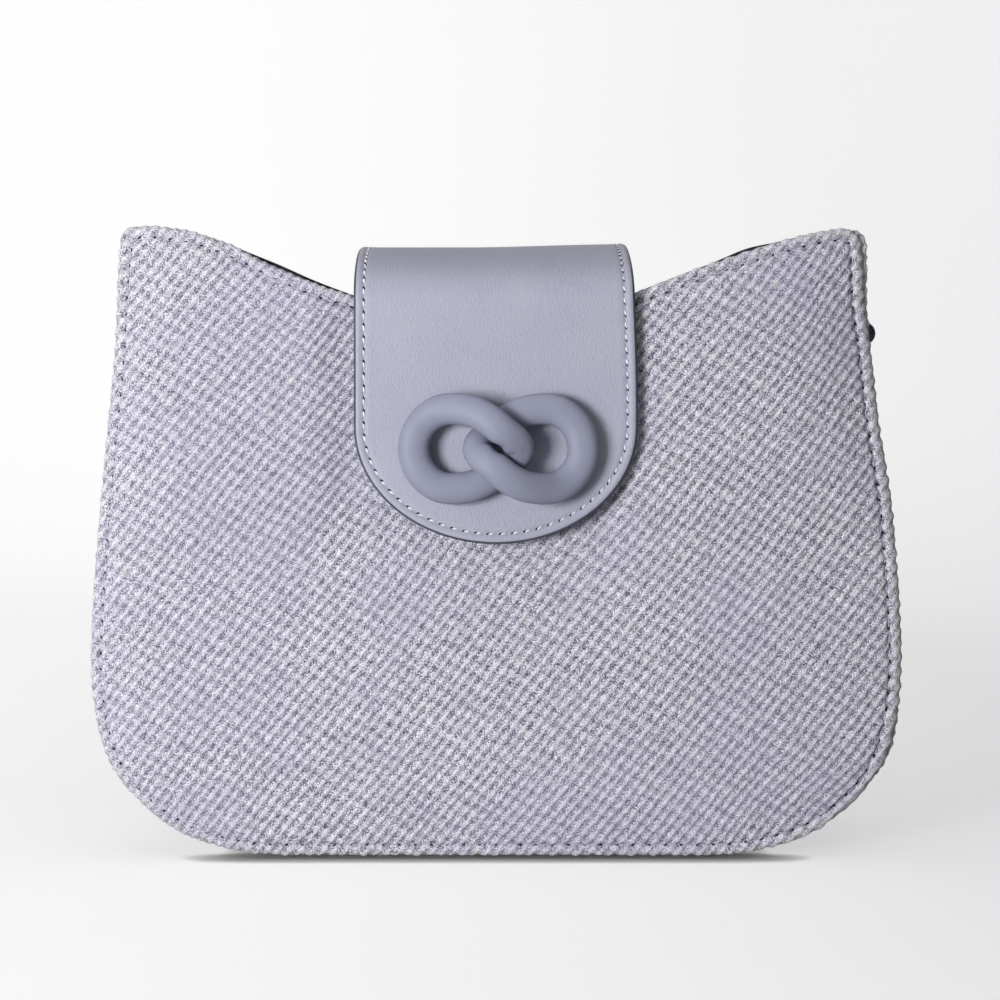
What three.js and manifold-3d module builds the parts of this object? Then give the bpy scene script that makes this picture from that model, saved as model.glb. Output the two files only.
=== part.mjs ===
import * as THREE from 'three';
import { mergeVertices } from 'three/addons/utils/BufferGeometryUtils.js';
import Module from 'manifold-3d';

// A half moon crossbody bag that stands on its lower seams. Sizes are in millimetres.
// X is the width, -Y is the front, +Z is up.

const wasm = await Module();
wasm.setup();

// Outline of the front and back panels
const baseHalfFlat = 80; // half of the straight bottom seam
const widestHalf = 134;
const widestHeight = 66;
const hornSideHalf = 121.5; // half width at the top of the side seams
const hornHeight = 208.5;
const hornPeakHalf = 116; // where the top edge stops rising
const dipDrop = 32.5; // from the horns to the lowest point of the top edge, under the flap
const hornRound = 6;
const sideLean = 2.7; // how far the side seam leans in over its last stretch
const sideLeanLength = 29;
const bottomEase = 32; // reach of the corner curve along the bottom
const cornerEase = 44; // reach of the corner curve up the side
const sideEase = 30;

// Depth of the bag
const baseHalfDepth = 37;
const hornHalfDepth = 31;
const frontBulge = 5;
const backBulge = 4;
const bulgeReach = 18; // distance from the seam over which a panel swells

// Cloth, boards and seams
const clothThick = 1.8;
const gussetThick = 1.6;
const boardThick = 0.8;
const liningThick = 0.6;
const layerGap = 0.4;
const seamGap = 0.3;
const flangeWide = 6; // seam allowance that stands out of the gusset
const gussetTopDrop = 5; // how far the gusset ends under the horns
const boardTopDrop = 3;
const liningTopDrop = 1.6;
const baseBoardThick = 2;
const baseBoardEndGap = 3;
const baseBoardSideGap = 4;
const liningEaseHeight = 44; // height by which the gusset lining lies against the gusset

// Flap
const flapHalfWide = 46;
const flapTipLength = 38; // length of its half round end
const flapTipDrop = 72; // below the lowest point of the panels' top edge
const flapBendRise = 8; // from that point up to where the arch over the mouth begins
const flapCrestRise = 27.5;
const flapHingeRise = 2.5; // above the back panel's edge at the sides of the flap
const flapCrestDepth = 2; // the crest lies this far behind the middle of the mouth
const leatherThick = 1.2;
const flapBoardThick = 0.6;
const flapLiningThick = 0.8;
const flapGap = 0.25;
const flapBoardInset = 4.6; // clears the edge stitching
const flapBoardTopDrop = 6;
const anchorLength = 61.5;
const anchorRound = 13;
const hingeGap = 0.35;

// Snap
const snapDrop = 14.5; // below the middle of the links
const snapRadius = 7;
const studThick = 2;
const socketThick = 1.7;
const snapShaftRadius = 1.5;
const washerRadius = 6;
const washerThick = 0.4;
const snapEdge = 0.4; // bevel of the snap's rim
const holeGap = 0.4;
const cutterOver = 1; // how far a cutter runs past the faces it cuts

// Links
const linkRise = 31.5; // from the flap's tip to the middle of the pair
const linkArcRadius = 13.3;
const linkArcOffset = 14.2; // from the middle of the pair to the centre of a link's round end
const linkWide = 9.9;
const linkNarrowing = 0.9; // how much narrower the crossing arms are
const linkDeep = 7.6;
const linkSeat = 0.55; // gap under the round ends
const linkRoundness = 2.3;
const linkNarrowStart = 2; // a link narrows over this stretch past its arc's centre
const linkNarrowEnd = 10;
const screwAngle = 45;
const screwHeadRadius = 2.6;
const screwHeadThick = 0.4;
const screwHeadSeat = 0.05; // the heads lie within the flap board's thickness
const studWasherSeat = 0.1;
const socketWasherSeat = 0.2;
const screwShaftRadius = 1.1;
const screwDepth = 3;

// Strap rings
const ringDrop = 34.5; // below the horns
const ringWireRadius = 1.3;
const ringInnerWide = 18;
const ringLeg = 5;
const ringCorner = 3;
const ringRunGap = 0.35;
const ringTabGap = 1;
const tabWide = 15;
const tabThick = 2.2;
const tabLoopWall = 1.3;
const tabLength = 26;
const tabLoopTurn = 144; // degrees at which the loop meets the tail's back again

const dipHeight = hornHeight - dipDrop;
const flapTipHeight = dipHeight - flapTipDrop;
const flapBendHeight = dipHeight + flapBendRise;
const flapCrestHeight = dipHeight + flapCrestRise;
const linkHeight = flapTipHeight + linkRise;
const ringHeight = hornHeight - ringDrop;
const snapStack = seamGap + socketThick + seamGap + studThick + seamGap;
const flapThick = flapLiningThick + flapGap + flapBoardThick + flapGap + leatherThick;

const leather = { color: 0xaeafc1, roughness: 0.55, metalness: 0 };
const weave = { color: 0xb1afbb, roughness: 0.9, metalness: 0 };
const darkCloth = { color: 0x2b2a30, roughness: 0.8, metalness: 0 };
const board = { color: 0x8d8a84, roughness: 0.9, metalness: 0 };
const moulded = { color: 0x9b9cb3, roughness: 0.5, metalness: 0 };
const darkMetal = { color: 0x3a3940, roughness: 0.35, metalness: 1 };
const steel = { color: 0xb8b8ba, roughness: 0.35, metalness: 1 };

function named(name, geometry, look) {
  const mesh = new THREE.Mesh(geometry, new THREE.MeshStandardMaterial(look));
  mesh.name = name;
  return mesh;
}

// A closed body from its corner points and triangles
function bodyFrom(points, triangles) {
  const geometry = new THREE.BufferGeometry();
  const flat = points.flatMap((p) => [p.x, p.y, p.z]);
  geometry.setAttribute('position', new THREE.Float32BufferAttribute(flat, 3));
  geometry.setIndex(triangles);
  return geometry;
}

function toSolid(geometry) {
  let plain = geometry.clone();
  plain.deleteAttribute('normal');
  plain.deleteAttribute('uv');
  plain = mergeVertices(plain, 1e-4);
  const vertProperties = new Float32Array(plain.attributes.position.array);
  const triVerts = new Uint32Array(plain.index.array);
  return new wasm.Manifold(new wasm.Mesh({ numProp: 3, vertProperties, triVerts }));
}

function fromSolid(solid) {
  const mesh = solid.getMesh();
  const geometry = new THREE.BufferGeometry();
  geometry.setAttribute('position', new THREE.Float32BufferAttribute(mesh.vertProperties, 3));
  geometry.setIndex(Array.from(mesh.triVerts));
  return geometry;
}

function cutFrom(geometry, cutters) {
  let solid = toSolid(geometry);
  for (const cutter of cutters) solid = solid.subtract(cutter);
  return fromSolid(solid);
}

// Height of the panels' top edge: a cosine from the dip to the horns
function topEdgeHeight(x) {
  const part = Math.min(Math.abs(x), hornPeakHalf) / hornPeakHalf;
  return dipHeight + (hornHeight - dipHeight) * (1 - Math.cos(Math.PI * part)) / 2;
}

function halfDepthAt(z) {
  return baseHalfDepth - (baseHalfDepth - hornHalfDepth) * z / hornHeight;
}

// The right half of the seam, from the middle of the bottom to the horn, as (x, z)
const bottomLine = new THREE.LineCurve(new THREE.Vector2(0, 0), new THREE.Vector2(baseHalfFlat, 0));
const cornerCurve = new THREE.CubicBezierCurve(
  new THREE.Vector2(baseHalfFlat, 0),
  new THREE.Vector2(baseHalfFlat + bottomEase, 0),
  new THREE.Vector2(widestHalf, widestHeight - cornerEase),
  new THREE.Vector2(widestHalf, widestHeight),
);
const sideCurve = new THREE.CubicBezierCurve(
  new THREE.Vector2(widestHalf, widestHeight),
  new THREE.Vector2(widestHalf, widestHeight + sideEase),
  new THREE.Vector2(hornSideHalf + sideLean, hornHeight - sideLeanLength),
  new THREE.Vector2(hornSideHalf, hornHeight),
);

// A seam point and its outward direction. t runs 0 to 1 along the bottom, 1 to 2 round the
// corner and 2 to 3 up the side.
function seamAt(t) {
  const curves = [bottomLine, cornerCurve, sideCurve];
  const index = Math.min(Math.floor(t), 2);
  const point = curves[index].getPoint(t - index);
  const tangent = curves[index].getTangent(t - index);
  return { point, out: new THREE.Vector2(tangent.y, -tangent.x) };
}

// Facet counts of the outlines
const flatSteps = 2;
const turnSteps = 9;
const riseSteps = 5;
const roundSteps = 3;
const dipSteps = 8;
const tipSteps = 10;
const tipStartTurn = 7;
const archSteps = 8;
const seamSteps = 60;
const seamSamples = Array.from({ length: seamSteps + 1 }, (_, i) => seamAt(3 * i / seamSteps).point);

function distanceToSeam(x, z) {
  const probe = new THREE.Vector3(Math.abs(x), z, 0);
  const nearest = new THREE.Vector3();
  let least = Infinity;
  for (let i = 0; i < seamSteps; i++) {
    const a = seamSamples[i];
    const b = seamSamples[i + 1];
    const piece = new THREE.Line3(new THREE.Vector3(a.x, a.y, 0), new THREE.Vector3(b.x, b.y, 0));
    piece.closestPointToPoint(probe, true, nearest);
    least = Math.min(least, nearest.distanceTo(probe));
  }
  return least;
}

function bulgeAt(x, z, bulge) {
  return bulge * (1 - Math.exp(-distanceToSeam(x, z) / bulgeReach));
}

// Equal steps along a line of points
function spaced(points, count) {
  const path = new THREE.CurvePath();
  for (let i = 1; i < points.length; i++) path.add(new THREE.LineCurve(points[i - 1], points[i]));
  return path.getSpacedPoints(count);
}

// The closed outline of a layer, drawn in from the seam and from the top edge
function layerOutline(sideInset, topInset) {
  const seam = [];
  const fine = 48;
  for (let i = 0; i <= 3 * fine; i++) {
    const { point, out } = seamAt(i / fine);
    seam.push(point.clone().addScaledVector(out, -sideInset));
  }
  const top = (x) => topEdgeHeight(x) - topInset;
  const side = seam.filter((p) => p.y < top(p.x) - hornRound && p.x >= 0);
  const flat = side.filter((p) => p.x <= baseHalfFlat && p.y <= sideInset + 0.01);
  const turning = side.slice(flat.length - 1).filter((p) => p.y <= widestHeight);
  const rising = side.slice(flat.length + turning.length - 2);
  const hornFoot = side[side.length - 1];
  const hornTopX = hornFoot.x - hornRound;
  const hornTop = new THREE.Vector2(hornTopX, top(hornTopX));
  const corner = new THREE.Vector2(hornFoot.x, top(hornFoot.x));
  const round = new THREE.QuadraticBezierCurve(hornFoot, corner, hornTop).getPoints(roundSteps);
  const dip = [];
  for (let i = 1; i <= dipSteps; i++) {
    const x = hornTopX * (1 - i / dipSteps);
    dip.push(new THREE.Vector2(x, top(x)));
  }
  const right = [
    ...spaced(flat, flatSteps),
    ...spaced(turning, turnSteps).slice(1),
    ...spaced(rising, riseSteps).slice(1),
    ...round.slice(1),
    ...dip,
  ];
  const left = right.slice(1, -1).reverse().map((p) => new THREE.Vector2(-p.x, p.y));
  return [...right, ...left];
}

// A swelling layer of a panel: side is -1 at the front and 1 at the back, depth is measured
// inwards from the panel's outer face
const ringScales = [1, 0.965, 0.9, 0.77];
const ringCentre = new THREE.Vector2(0, 95);

function swollenLayer(outline, side, bulge, depth, thick) {
  const points = [];
  const triangles = [];
  const count = outline.length;
  const place = (x, z, inward) => {
    const y = side * (halfDepthAt(z) + bulgeAt(x, z, bulge) - inward);
    points.push(new THREE.Vector3(x, y, z));
  };
  for (const inward of [depth, depth + thick]) {
    for (const scale of ringScales) {
      for (const p of outline) {
        const q = ringCentre.clone().lerp(p, scale);
        place(q.x, q.y, inward);
      }
    }
    place(ringCentre.x, ringCentre.y, inward);
  }
  const sheet = ringScales.length * count + 1;
  const face = (a, b, c, flip) => triangles.push(...(flip ? [a, c, b] : [a, b, c]));
  for (const level of [0, 1]) {
    const flip = (level === 0) === (side > 0);
    const base = level * sheet;
    for (let i = 0; i < count; i++) {
      const next = (i + 1) % count;
      for (let r = 0; r < ringScales.length - 1; r++) {
        const a = base + r * count + i;
        const b = base + r * count + next;
        face(a, b, b + count, flip);
        face(a, b + count, a + count, flip);
      }
      const last = base + (ringScales.length - 1) * count;
      face(last + i, last + next, base + sheet - 1, flip);
    }
  }
  for (let i = 0; i < count; i++) {
    const next = (i + 1) % count;
    face(i, sheet + i, sheet + next, side > 0);
    face(i, sheet + next, next, side > 0);
  }
  return bodyFrom(points, triangles);
}

// Sweeps a section along the whole seam. section(z) gives its corners clockwise as
// [inset, y at a height], where inset is measured in from the seam
function alongSeam(section, stations) {
  const points = [];
  const triangles = [];
  let corners = 0;
  for (const t of stations) {
    const { point, out } = seamAt(Math.abs(t));
    const ring = section(point.y);
    corners = ring.length;
    for (const [inset, yOf] of ring) {
      const q = point.clone().addScaledVector(out, -inset);
      points.push(new THREE.Vector3(t < 0 ? -q.x : q.x, yOf(q.y), q.y));
    }
  }
  for (let s = 0; s < stations.length - 1; s++) {
    for (let c = 0; c < corners; c++) {
      const a = s * corners + c;
      const b = s * corners + (c + 1) % corners;
      triangles.push(a, b, b + corners, a, b + corners, a + corners);
    }
  }
  const ends = section(hornHeight).map(([inset, yOf]) => new THREE.Vector2(inset, yOf(hornHeight)));
  const cap = THREE.ShapeUtils.triangulateShape(ends, []);
  const last = (stations.length - 1) * corners;
  for (const [a, b, c] of cap) {
    triangles.push(a, b, c);
    triangles.push(last + c, last + b, last + a);
  }
  return bodyFrom(points, triangles);
}

// Places along the seam from one horn to the other, closer together round the corners
function seamStations(topDrop) {
  const half = [];
  for (let i = 0; i < flatSteps; i++) half.push(i / flatSteps);
  for (let i = 0; i < turnSteps; i++) half.push(1 + i / turnSteps);
  const endT = 3 - topDrop / (hornHeight - widestHeight);
  const sideSteps = riseSteps + 1;
  for (let i = 0; i <= sideSteps; i++) half.push(2 + (endT - 2) * i / sideSteps);
  return [...half.slice(1).reverse().map((t) => -t), ...half];
}

// The web lies inside two flanges that stand out to the seam
function gussetBody() {
  const reach = (z) => halfDepthAt(z) - clothThick - seamGap;
  const front = (z) => -reach(z);
  const frontInner = (z) => -reach(z) + gussetThick;
  const back = (z) => reach(z);
  const backInner = (z) => reach(z) - gussetThick;
  const section = () => [
    [0, front],
    [0, frontInner],
    [flangeWide, frontInner],
    [flangeWide, backInner],
    [0, backInner],
    [0, back],
    [flangeWide + gussetThick, back],
    [flangeWide + gussetThick, front],
  ];
  return alongSeam(section, seamStations(gussetTopDrop));
}

const wallDepth = clothThick + layerGap + boardThick + layerGap + liningThick;

function gussetLiningBody() {
  const reach = (z) => halfDepthAt(z) - wallDepth - seamGap;
  const section = (z) => {
    const ease = THREE.MathUtils.smoothstep(z, 0, liningEaseHeight);
    const overBoard = (baseBoardThick + seamGap) * (1 - ease);
    const inset = flangeWide + gussetThick + seamGap + overBoard;
    return [
      [inset, (q) => -reach(q)],
      [inset, (q) => reach(q)],
      [inset + liningThick, (q) => reach(q)],
      [inset + liningThick, (q) => -reach(q)],
    ];
  };
  return alongSeam(section, seamStations(gussetTopDrop + liningThick));
}

function baseBoardBody() {
  const low = flangeWide + gussetThick + seamGap;
  const halfDeep = halfDepthAt(low) - wallDepth - baseBoardSideGap;
  const halfWide = baseHalfFlat - baseBoardEndGap;
  const round = baseBoardSideGap;
  const shape = new THREE.Shape();
  shape.moveTo(-halfWide + round, -halfDeep);
  shape.lineTo(halfWide - round, -halfDeep);
  shape.absarc(halfWide - round, -halfDeep + round, round, -Math.PI / 2, 0, false);
  shape.absarc(halfWide - round, halfDeep - round, round, 0, Math.PI / 2, false);
  shape.absarc(-halfWide + round, halfDeep - round, round, Math.PI / 2, Math.PI, false);
  shape.absarc(-halfWide + round, -halfDeep + round, round, Math.PI, 1.5 * Math.PI, false);
  const geometry = new THREE.ExtrudeGeometry(shape, {
    depth: baseBoardThick, bevelEnabled: false, curveSegments: 4,
  });
  geometry.translate(0, 0, low);
  return geometry;
}

const flapHingeHeight = topEdgeHeight(flapHalfWide) + flapHingeRise;
const anchorLowHeight = flapHingeHeight - anchorLength;

// The flap's inner face in the middle plane as (y, z), from the tip over the arch to the hinge
const flapInnerAt = (z) => -(halfDepthAt(z) + frontBulge + snapStack);
const tipPoint = new THREE.Vector2(flapInnerAt(flapTipHeight), flapTipHeight);
const bendPoint = new THREE.Vector2(flapInnerAt(flapBendHeight), flapBendHeight);
const hingeInner = halfDepthAt(flapHingeHeight) + backBulge + seamGap;
const flapLean = Math.atan2(bendPoint.x - tipPoint.x, bendPoint.y - tipPoint.y);
const flapPath = new THREE.CurvePath();
flapPath.add(new THREE.LineCurve(tipPoint, bendPoint));
flapPath.add(new THREE.EllipseCurve(
  flapCrestDepth, flapBendHeight,
  flapCrestDepth - bendPoint.x, flapCrestHeight - flapThick - flapBendHeight,
  Math.PI, Math.PI / 2, true,
));
flapPath.add(new THREE.EllipseCurve(
  flapCrestDepth, flapHingeHeight,
  hingeInner - flapCrestDepth, flapCrestHeight - flapThick - flapHingeHeight,
  Math.PI / 2, 0, true,
));
const flapStraight = bendPoint.distanceTo(tipPoint);

// Rows across the flap: t is the place on the path's piece, half is the half width
function flapRows() {
  const rows = [];
  for (let i = 0; i <= tipSteps; i++) {
    const turn = THREE.MathUtils.degToRad(tipStartTurn + (90 - tipStartTurn) * i / tipSteps);
    const t = flapTipLength * (1 - Math.cos(turn)) / flapStraight;
    rows.push({ piece: 0, t, half: flapHalfWide * Math.sin(turn) });
  }
  rows.push({ piece: 0, t: 1, half: flapHalfWide });
  for (let i = 1; i <= archSteps; i++) rows.push({ piece: 1, t: i / archSteps, half: flapHalfWide });
  for (let i = 1; i <= archSteps; i++) {
    const end = 1 - hingeGap / (flapCrestHeight - flapHingeHeight);
    rows.push({ piece: 2, t: end * i / archSteps, half: flapHalfWide });
  }
  return rows;
}

// A layer of the flap between two heights over its inner face
function flapLayer(low, high) {
  const points = [];
  const triangles = [];
  const rows = flapRows();
  for (const { piece, t, half } of rows) {
    const curve = flapPath.curves[piece];
    const p = curve.getPoint(t);
    const along = curve.getTangent(t);
    const out = new THREE.Vector2(-along.y, along.x);
    for (const [x, height] of [[-half, low], [half, low], [half, high], [-half, high]]) {
      points.push(new THREE.Vector3(x, p.x + out.x * height, p.y + out.y * height));
    }
  }
  for (let r = 0; r < rows.length - 1; r++) {
    for (let c = 0; c < 4; c++) {
      const a = 4 * r + c;
      const b = 4 * r + (c + 1) % 4;
      triangles.push(a, b + 4, b, a, a + 4, b + 4);
    }
  }
  const last = 4 * (rows.length - 1);
  triangles.push(0, 1, 2, 0, 2, 3);
  triangles.push(last, last + 2, last + 1, last, last + 3, last + 2);
  return bodyFrom(points, triangles);
}

// A frame on the flap's outer face at the middle of the links: X across, Y up the flap,
// Z out of the leather
const linkInner = flapInnerAt(linkHeight);
const flapFrame = new THREE.Matrix4().makeRotationX(Math.PI / 2 - flapLean);
flapFrame.premultiply(new THREE.Matrix4().makeTranslation(
  0, linkInner - flapThick * Math.cos(flapLean), linkHeight + flapThick * Math.sin(flapLean),
));

function onFlap(geometry, x, y, z) {
  geometry.translate(x, y, z);
  geometry.applyMatrix4(flapFrame);
  return geometry;
}

// A round pin or hole in the flap's frame, from height low to high
function pinOnFlap(radius, x, y, low, high, sides = 16) {
  const geometry = new THREE.CylinderGeometry(radius, radius, high - low, sides);
  geometry.rotateX(Math.PI / 2);
  return onFlap(geometry, x, y, (low + high) / 2);
}

const screwPlaces = [];
for (const side of [-1, 1]) {
  for (const up of [1, -1]) {
    const turn = THREE.MathUtils.degToRad(screwAngle);
    const x = side * (linkArcOffset + linkArcRadius * Math.cos(turn));
    screwPlaces.push({ side, up, x, y: up * linkArcRadius * Math.sin(turn) });
  }
}

const leatherLow = -leatherThick;
const flapBoardHigh = leatherLow - flapGap;
const flapBoardLow = flapBoardHigh - flapBoardThick;
const flapLiningHigh = flapBoardLow - flapGap;

function flapOuterBody() {
  const holes = screwPlaces.map(({ x, y }) => toSolid(
    pinOnFlap(screwShaftRadius + holeGap, x, y, leatherLow - cutterOver, cutterOver, 12),
  ));
  return cutFrom(flapLayer(flapThick - leatherThick, flapThick), holes);
}

function flapLiningBody() {
  const low = -flapThick - cutterOver;
  const hole = pinOnFlap(snapShaftRadius + holeGap, 0, -snapDrop, low, flapLiningHigh + cutterOver);
  return cutFrom(flapLayer(0, flapLiningThick), [toSolid(hole)]);
}

// A flat board inside the straight part of the flap, with room for the washer and the screws
function flapBoardBody() {
  const half = flapHalfWide - flapBoardInset;
  const tip = flapTipLength - flapBoardInset;
  const low = flapTipHeight - linkHeight + flapTipLength;
  const high = flapBendHeight - linkHeight - flapBoardTopDrop;
  const shape = new THREE.Shape();
  shape.moveTo(-half, high);
  shape.absellipse(0, low, half, tip, Math.PI, 2 * Math.PI, false, 0);
  shape.lineTo(half, high);
  const round = (x, y, radius) => {
    const hole = new THREE.Path();
    hole.absarc(x, y, radius, 0, 2 * Math.PI, true);
    shape.holes.push(hole);
  };
  round(0, -snapDrop, washerRadius + holeGap);
  for (const { x, y } of screwPlaces) round(x, y, screwHeadRadius + holeGap);
  const geometry = new THREE.ExtrudeGeometry(shape, {
    depth: flapBoardThick, bevelEnabled: false, curveSegments: 10,
  });
  return onFlap(geometry, 0, 0, flapBoardLow);
}

// The end of the flap's leather, flat on the back panel under the hinge
function flapAnchorBody() {
  const face = (z) => halfDepthAt(z) + backBulge + seamGap;
  const long = anchorLength;
  const shape = new THREE.Shape();
  shape.moveTo(flapHalfWide, 0);
  shape.lineTo(-flapHalfWide, 0);
  shape.lineTo(-flapHalfWide, -long + anchorRound);
  const arcX = flapHalfWide - anchorRound;
  const arcY = anchorRound - long;
  shape.absarc(-arcX, arcY, anchorRound, Math.PI, 1.5 * Math.PI, false);
  shape.absarc(arcX, arcY, anchorRound, 1.5 * Math.PI, 2 * Math.PI, false);
  const geometry = new THREE.ExtrudeGeometry(shape, {
    depth: flapThick, bevelEnabled: false, curveSegments: 6,
  });
  const lean = Math.atan2(face(anchorLowHeight) - face(flapHingeHeight), long);
  geometry.translate(0, 0, -flapThick);
  geometry.rotateX(Math.PI / 2 + lean);
  geometry.translate(0, face(flapHingeHeight), flapHingeHeight);
  return geometry;
}

// One half of the snap: a disc with a shaft that reaches through to the washer
function snapHalfProfile(discThick, reach) {
  const profile = [
    [0, 0], [snapRadius - snapEdge, 0], [snapRadius, snapEdge], [snapRadius, discThick],
    [snapShaftRadius, discThick], [snapShaftRadius, discThick + reach], [0, discThick + reach],
  ];
  const geometry = new THREE.LatheGeometry(profile.map(([r, h]) => new THREE.Vector2(r, h)), 20);
  geometry.rotateX(Math.PI / 2);
  return geometry;
}

const panelFace = -flapThick - snapStack;
const panelBoardHigh = panelFace - clothThick - layerGap;

function magnetStudBody() {
  const seat = -flapThick - seamGap;
  return onFlap(snapHalfProfile(studThick, flapBoardHigh - seat - seamGap), 0, -snapDrop, seat - studThick);
}

function magnetSocketBody() {
  const reach = seamGap + clothThick + layerGap + boardThick - seamGap;
  const geometry = snapHalfProfile(socketThick, reach);
  geometry.rotateX(Math.PI);
  return onFlap(geometry, 0, -snapDrop, panelFace + seamGap + socketThick);
}

function washerBody(low) {
  const inner = snapShaftRadius + holeGap;
  const profile = [
    [inner, 0], [washerRadius, 0], [washerRadius, washerThick], [inner, washerThick], [inner, 0],
  ];
  const geometry = new THREE.LatheGeometry(profile.map(([r, h]) => new THREE.Vector2(r, h)), 20);
  geometry.rotateX(Math.PI / 2);
  return onFlap(geometry, 0, -snapDrop, low);
}

function socketHole() {
  const geometry = pinOnFlap(
    snapShaftRadius + holeGap, 0, -snapDrop,
    panelBoardHigh - boardThick - cutterOver, panelFace + cutterOver,
  );
  return toSolid(geometry);
}

function boardHole() {
  const geometry = pinOnFlap(
    washerRadius + holeGap, 0, -snapDrop,
    panelBoardHigh - boardThick - cutterOver, panelBoardHigh + cutterOver, 20,
  );
  return toSolid(geometry);
}

// Middle line of the left link, in the flap's frame. Its round end lies on the flap, then it
// climbs over the other link, dips through that link's eye and comes back underneath
function linkMiddleLine() {
  const low = linkDeep / 2 + linkSeat;
  const points = [];
  for (const degrees of [250, 215, 180, 145, 110]) {
    const turn = THREE.MathUtils.degToRad(degrees);
    const x = linkArcRadius * Math.cos(turn) - linkArcOffset;
    points.push(new THREE.Vector3(x, linkArcRadius * Math.sin(turn), low));
  }
  // Across in link widths, up in link depths over the seat
  const over = [
    [-0.98, 1.24, 0.96], [-0.49, 0.96, 1.58], [-0.01, 0.61, 1.57],
    [0.53, 0.2, 0.96], [0.67, -0.13, 0.62], [0.3, -0.65, 0.49], [-0.28, -1.13, 0.5],
  ];
  for (const [x, y, z] of over) {
    points.push(new THREE.Vector3(x * linkWide, y * linkWide, linkSeat + z * linkDeep));
  }
  return new THREE.CatmullRomCurve3(points, true, 'centripetal');
}

// Joins rings of points round a closed line into one closed body
function closedSweep(rings) {
  const points = rings.flat();
  const triangles = [];
  const sides = rings[0].length;
  for (let i = 0; i < rings.length; i++) {
    const next = (i + 1) % rings.length;
    for (let j = 0; j < sides; j++) {
      const k = (j + 1) % sides;
      const [a, b, c, d] = [i * sides + j, i * sides + k, next * sides + k, next * sides + j];
      triangles.push(a, c, b, a, d, c);
    }
  }
  return bodyFrom(points, triangles);
}

function linkBody(side) {
  const line = linkMiddleLine();
  const stations = 48;
  const sides = 12;
  const up = new THREE.Vector3(0, 0, 1);
  const rings = [];
  const squeeze = (v) => Math.sign(v) * Math.abs(v) ** (2 / linkRoundness);
  for (let i = 0; i < stations; i++) {
    const middle = line.getPointAt(i / stations);
    const along = line.getTangentAt(i / stations);
    const across = new THREE.Vector3().crossVectors(along, up).normalize();
    const rise = new THREE.Vector3().crossVectors(across, along).normalize();
    const past = middle.x + linkArcOffset;
    const narrowing = THREE.MathUtils.smoothstep(past, linkNarrowStart, linkNarrowEnd);
    const wide = linkWide - linkNarrowing * narrowing;
    const ring = [];
    for (let j = 0; j < sides; j++) {
      const turn = 2 * Math.PI * j / sides;
      ring.push(middle.clone()
        .addScaledVector(across, squeeze(Math.cos(turn)) * wide / 2)
        .addScaledVector(rise, squeeze(Math.sin(turn)) * linkDeep / 2));
    }
    rings.push(ring);
  }
  const geometry = closedSweep(rings);
  if (side > 0) geometry.rotateZ(Math.PI);
  geometry.applyMatrix4(flapFrame);
  const holes = screwPlaces.filter((place) => place.side === side).map(({ x, y }) => toSolid(
    pinOnFlap(screwShaftRadius + holeGap, x, y, -cutterOver, linkSeat + screwDepth + holeGap, 10),
  ));
  return cutFrom(geometry, holes);
}

function linkScrewBody(x, y) {
  const headLow = flapBoardLow + screwHeadSeat;
  const headHigh = headLow + screwHeadThick;
  const profile = [
    [0, headLow], [screwHeadRadius, headLow], [screwHeadRadius, headHigh],
    [screwShaftRadius, headHigh], [screwShaftRadius, linkSeat + screwDepth], [0, linkSeat + screwDepth],
  ];
  const geometry = new THREE.LatheGeometry(profile.map(([r, h]) => new THREE.Vector2(r, h)), 12);
  geometry.rotateX(Math.PI / 2);
  return onFlap(geometry, x, y, 0);
}

// Middle of the ring's straight bar, measured out from the gusset
const tabSeat = flangeWide - seamGap;
const ringOut = -tabSeat + tabThick + ringTabGap + ringWireRadius;
const loopRadius = ringWireRadius + ringRunGap + tabLoopWall;

// The place of a ring: a group at the seam with X out of the bag and Z up along the gusset
function ringPlace(side) {
  let t = 2;
  while (seamAt(t).point.y < ringHeight) t += 0.001;
  const { point, out } = seamAt(t);
  const place = new THREE.Group();
  place.position.set(side * point.x, 0, point.y);
  place.rotation.y = -side * Math.atan2(out.y, out.x);
  return place;
}

// A strip folded round the ring's bar, its tail flat on the gusset
function ringTabBody(side) {
  const back = -tabSeat;
  const front = back + tabThick;
  const foot = -Math.sqrt(loopRadius ** 2 - (ringOut - front) ** 2);
  const shape = new THREE.Shape();
  shape.moveTo(back, -tabLength);
  shape.lineTo(front, -tabLength);
  shape.lineTo(front, foot);
  const start = Math.atan2(foot, front - ringOut);
  shape.absarc(ringOut, 0, loopRadius, start, THREE.MathUtils.degToRad(tabLoopTurn), false);
  shape.lineTo(back, -loopRadius / 2);
  const eye = new THREE.Path();
  eye.absarc(ringOut, 0, ringWireRadius + ringRunGap, 0, 2 * Math.PI, true);
  shape.holes.push(eye);
  const geometry = new THREE.ExtrudeGeometry(shape, {
    depth: tabWide, bevelEnabled: false, curveSegments: 10,
  });
  geometry.translate(0, 0, -tabWide / 2);
  geometry.rotateX(Math.PI / 2);
  if (side < 0) geometry.rotateZ(Math.PI);
  return geometry;
}

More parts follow.
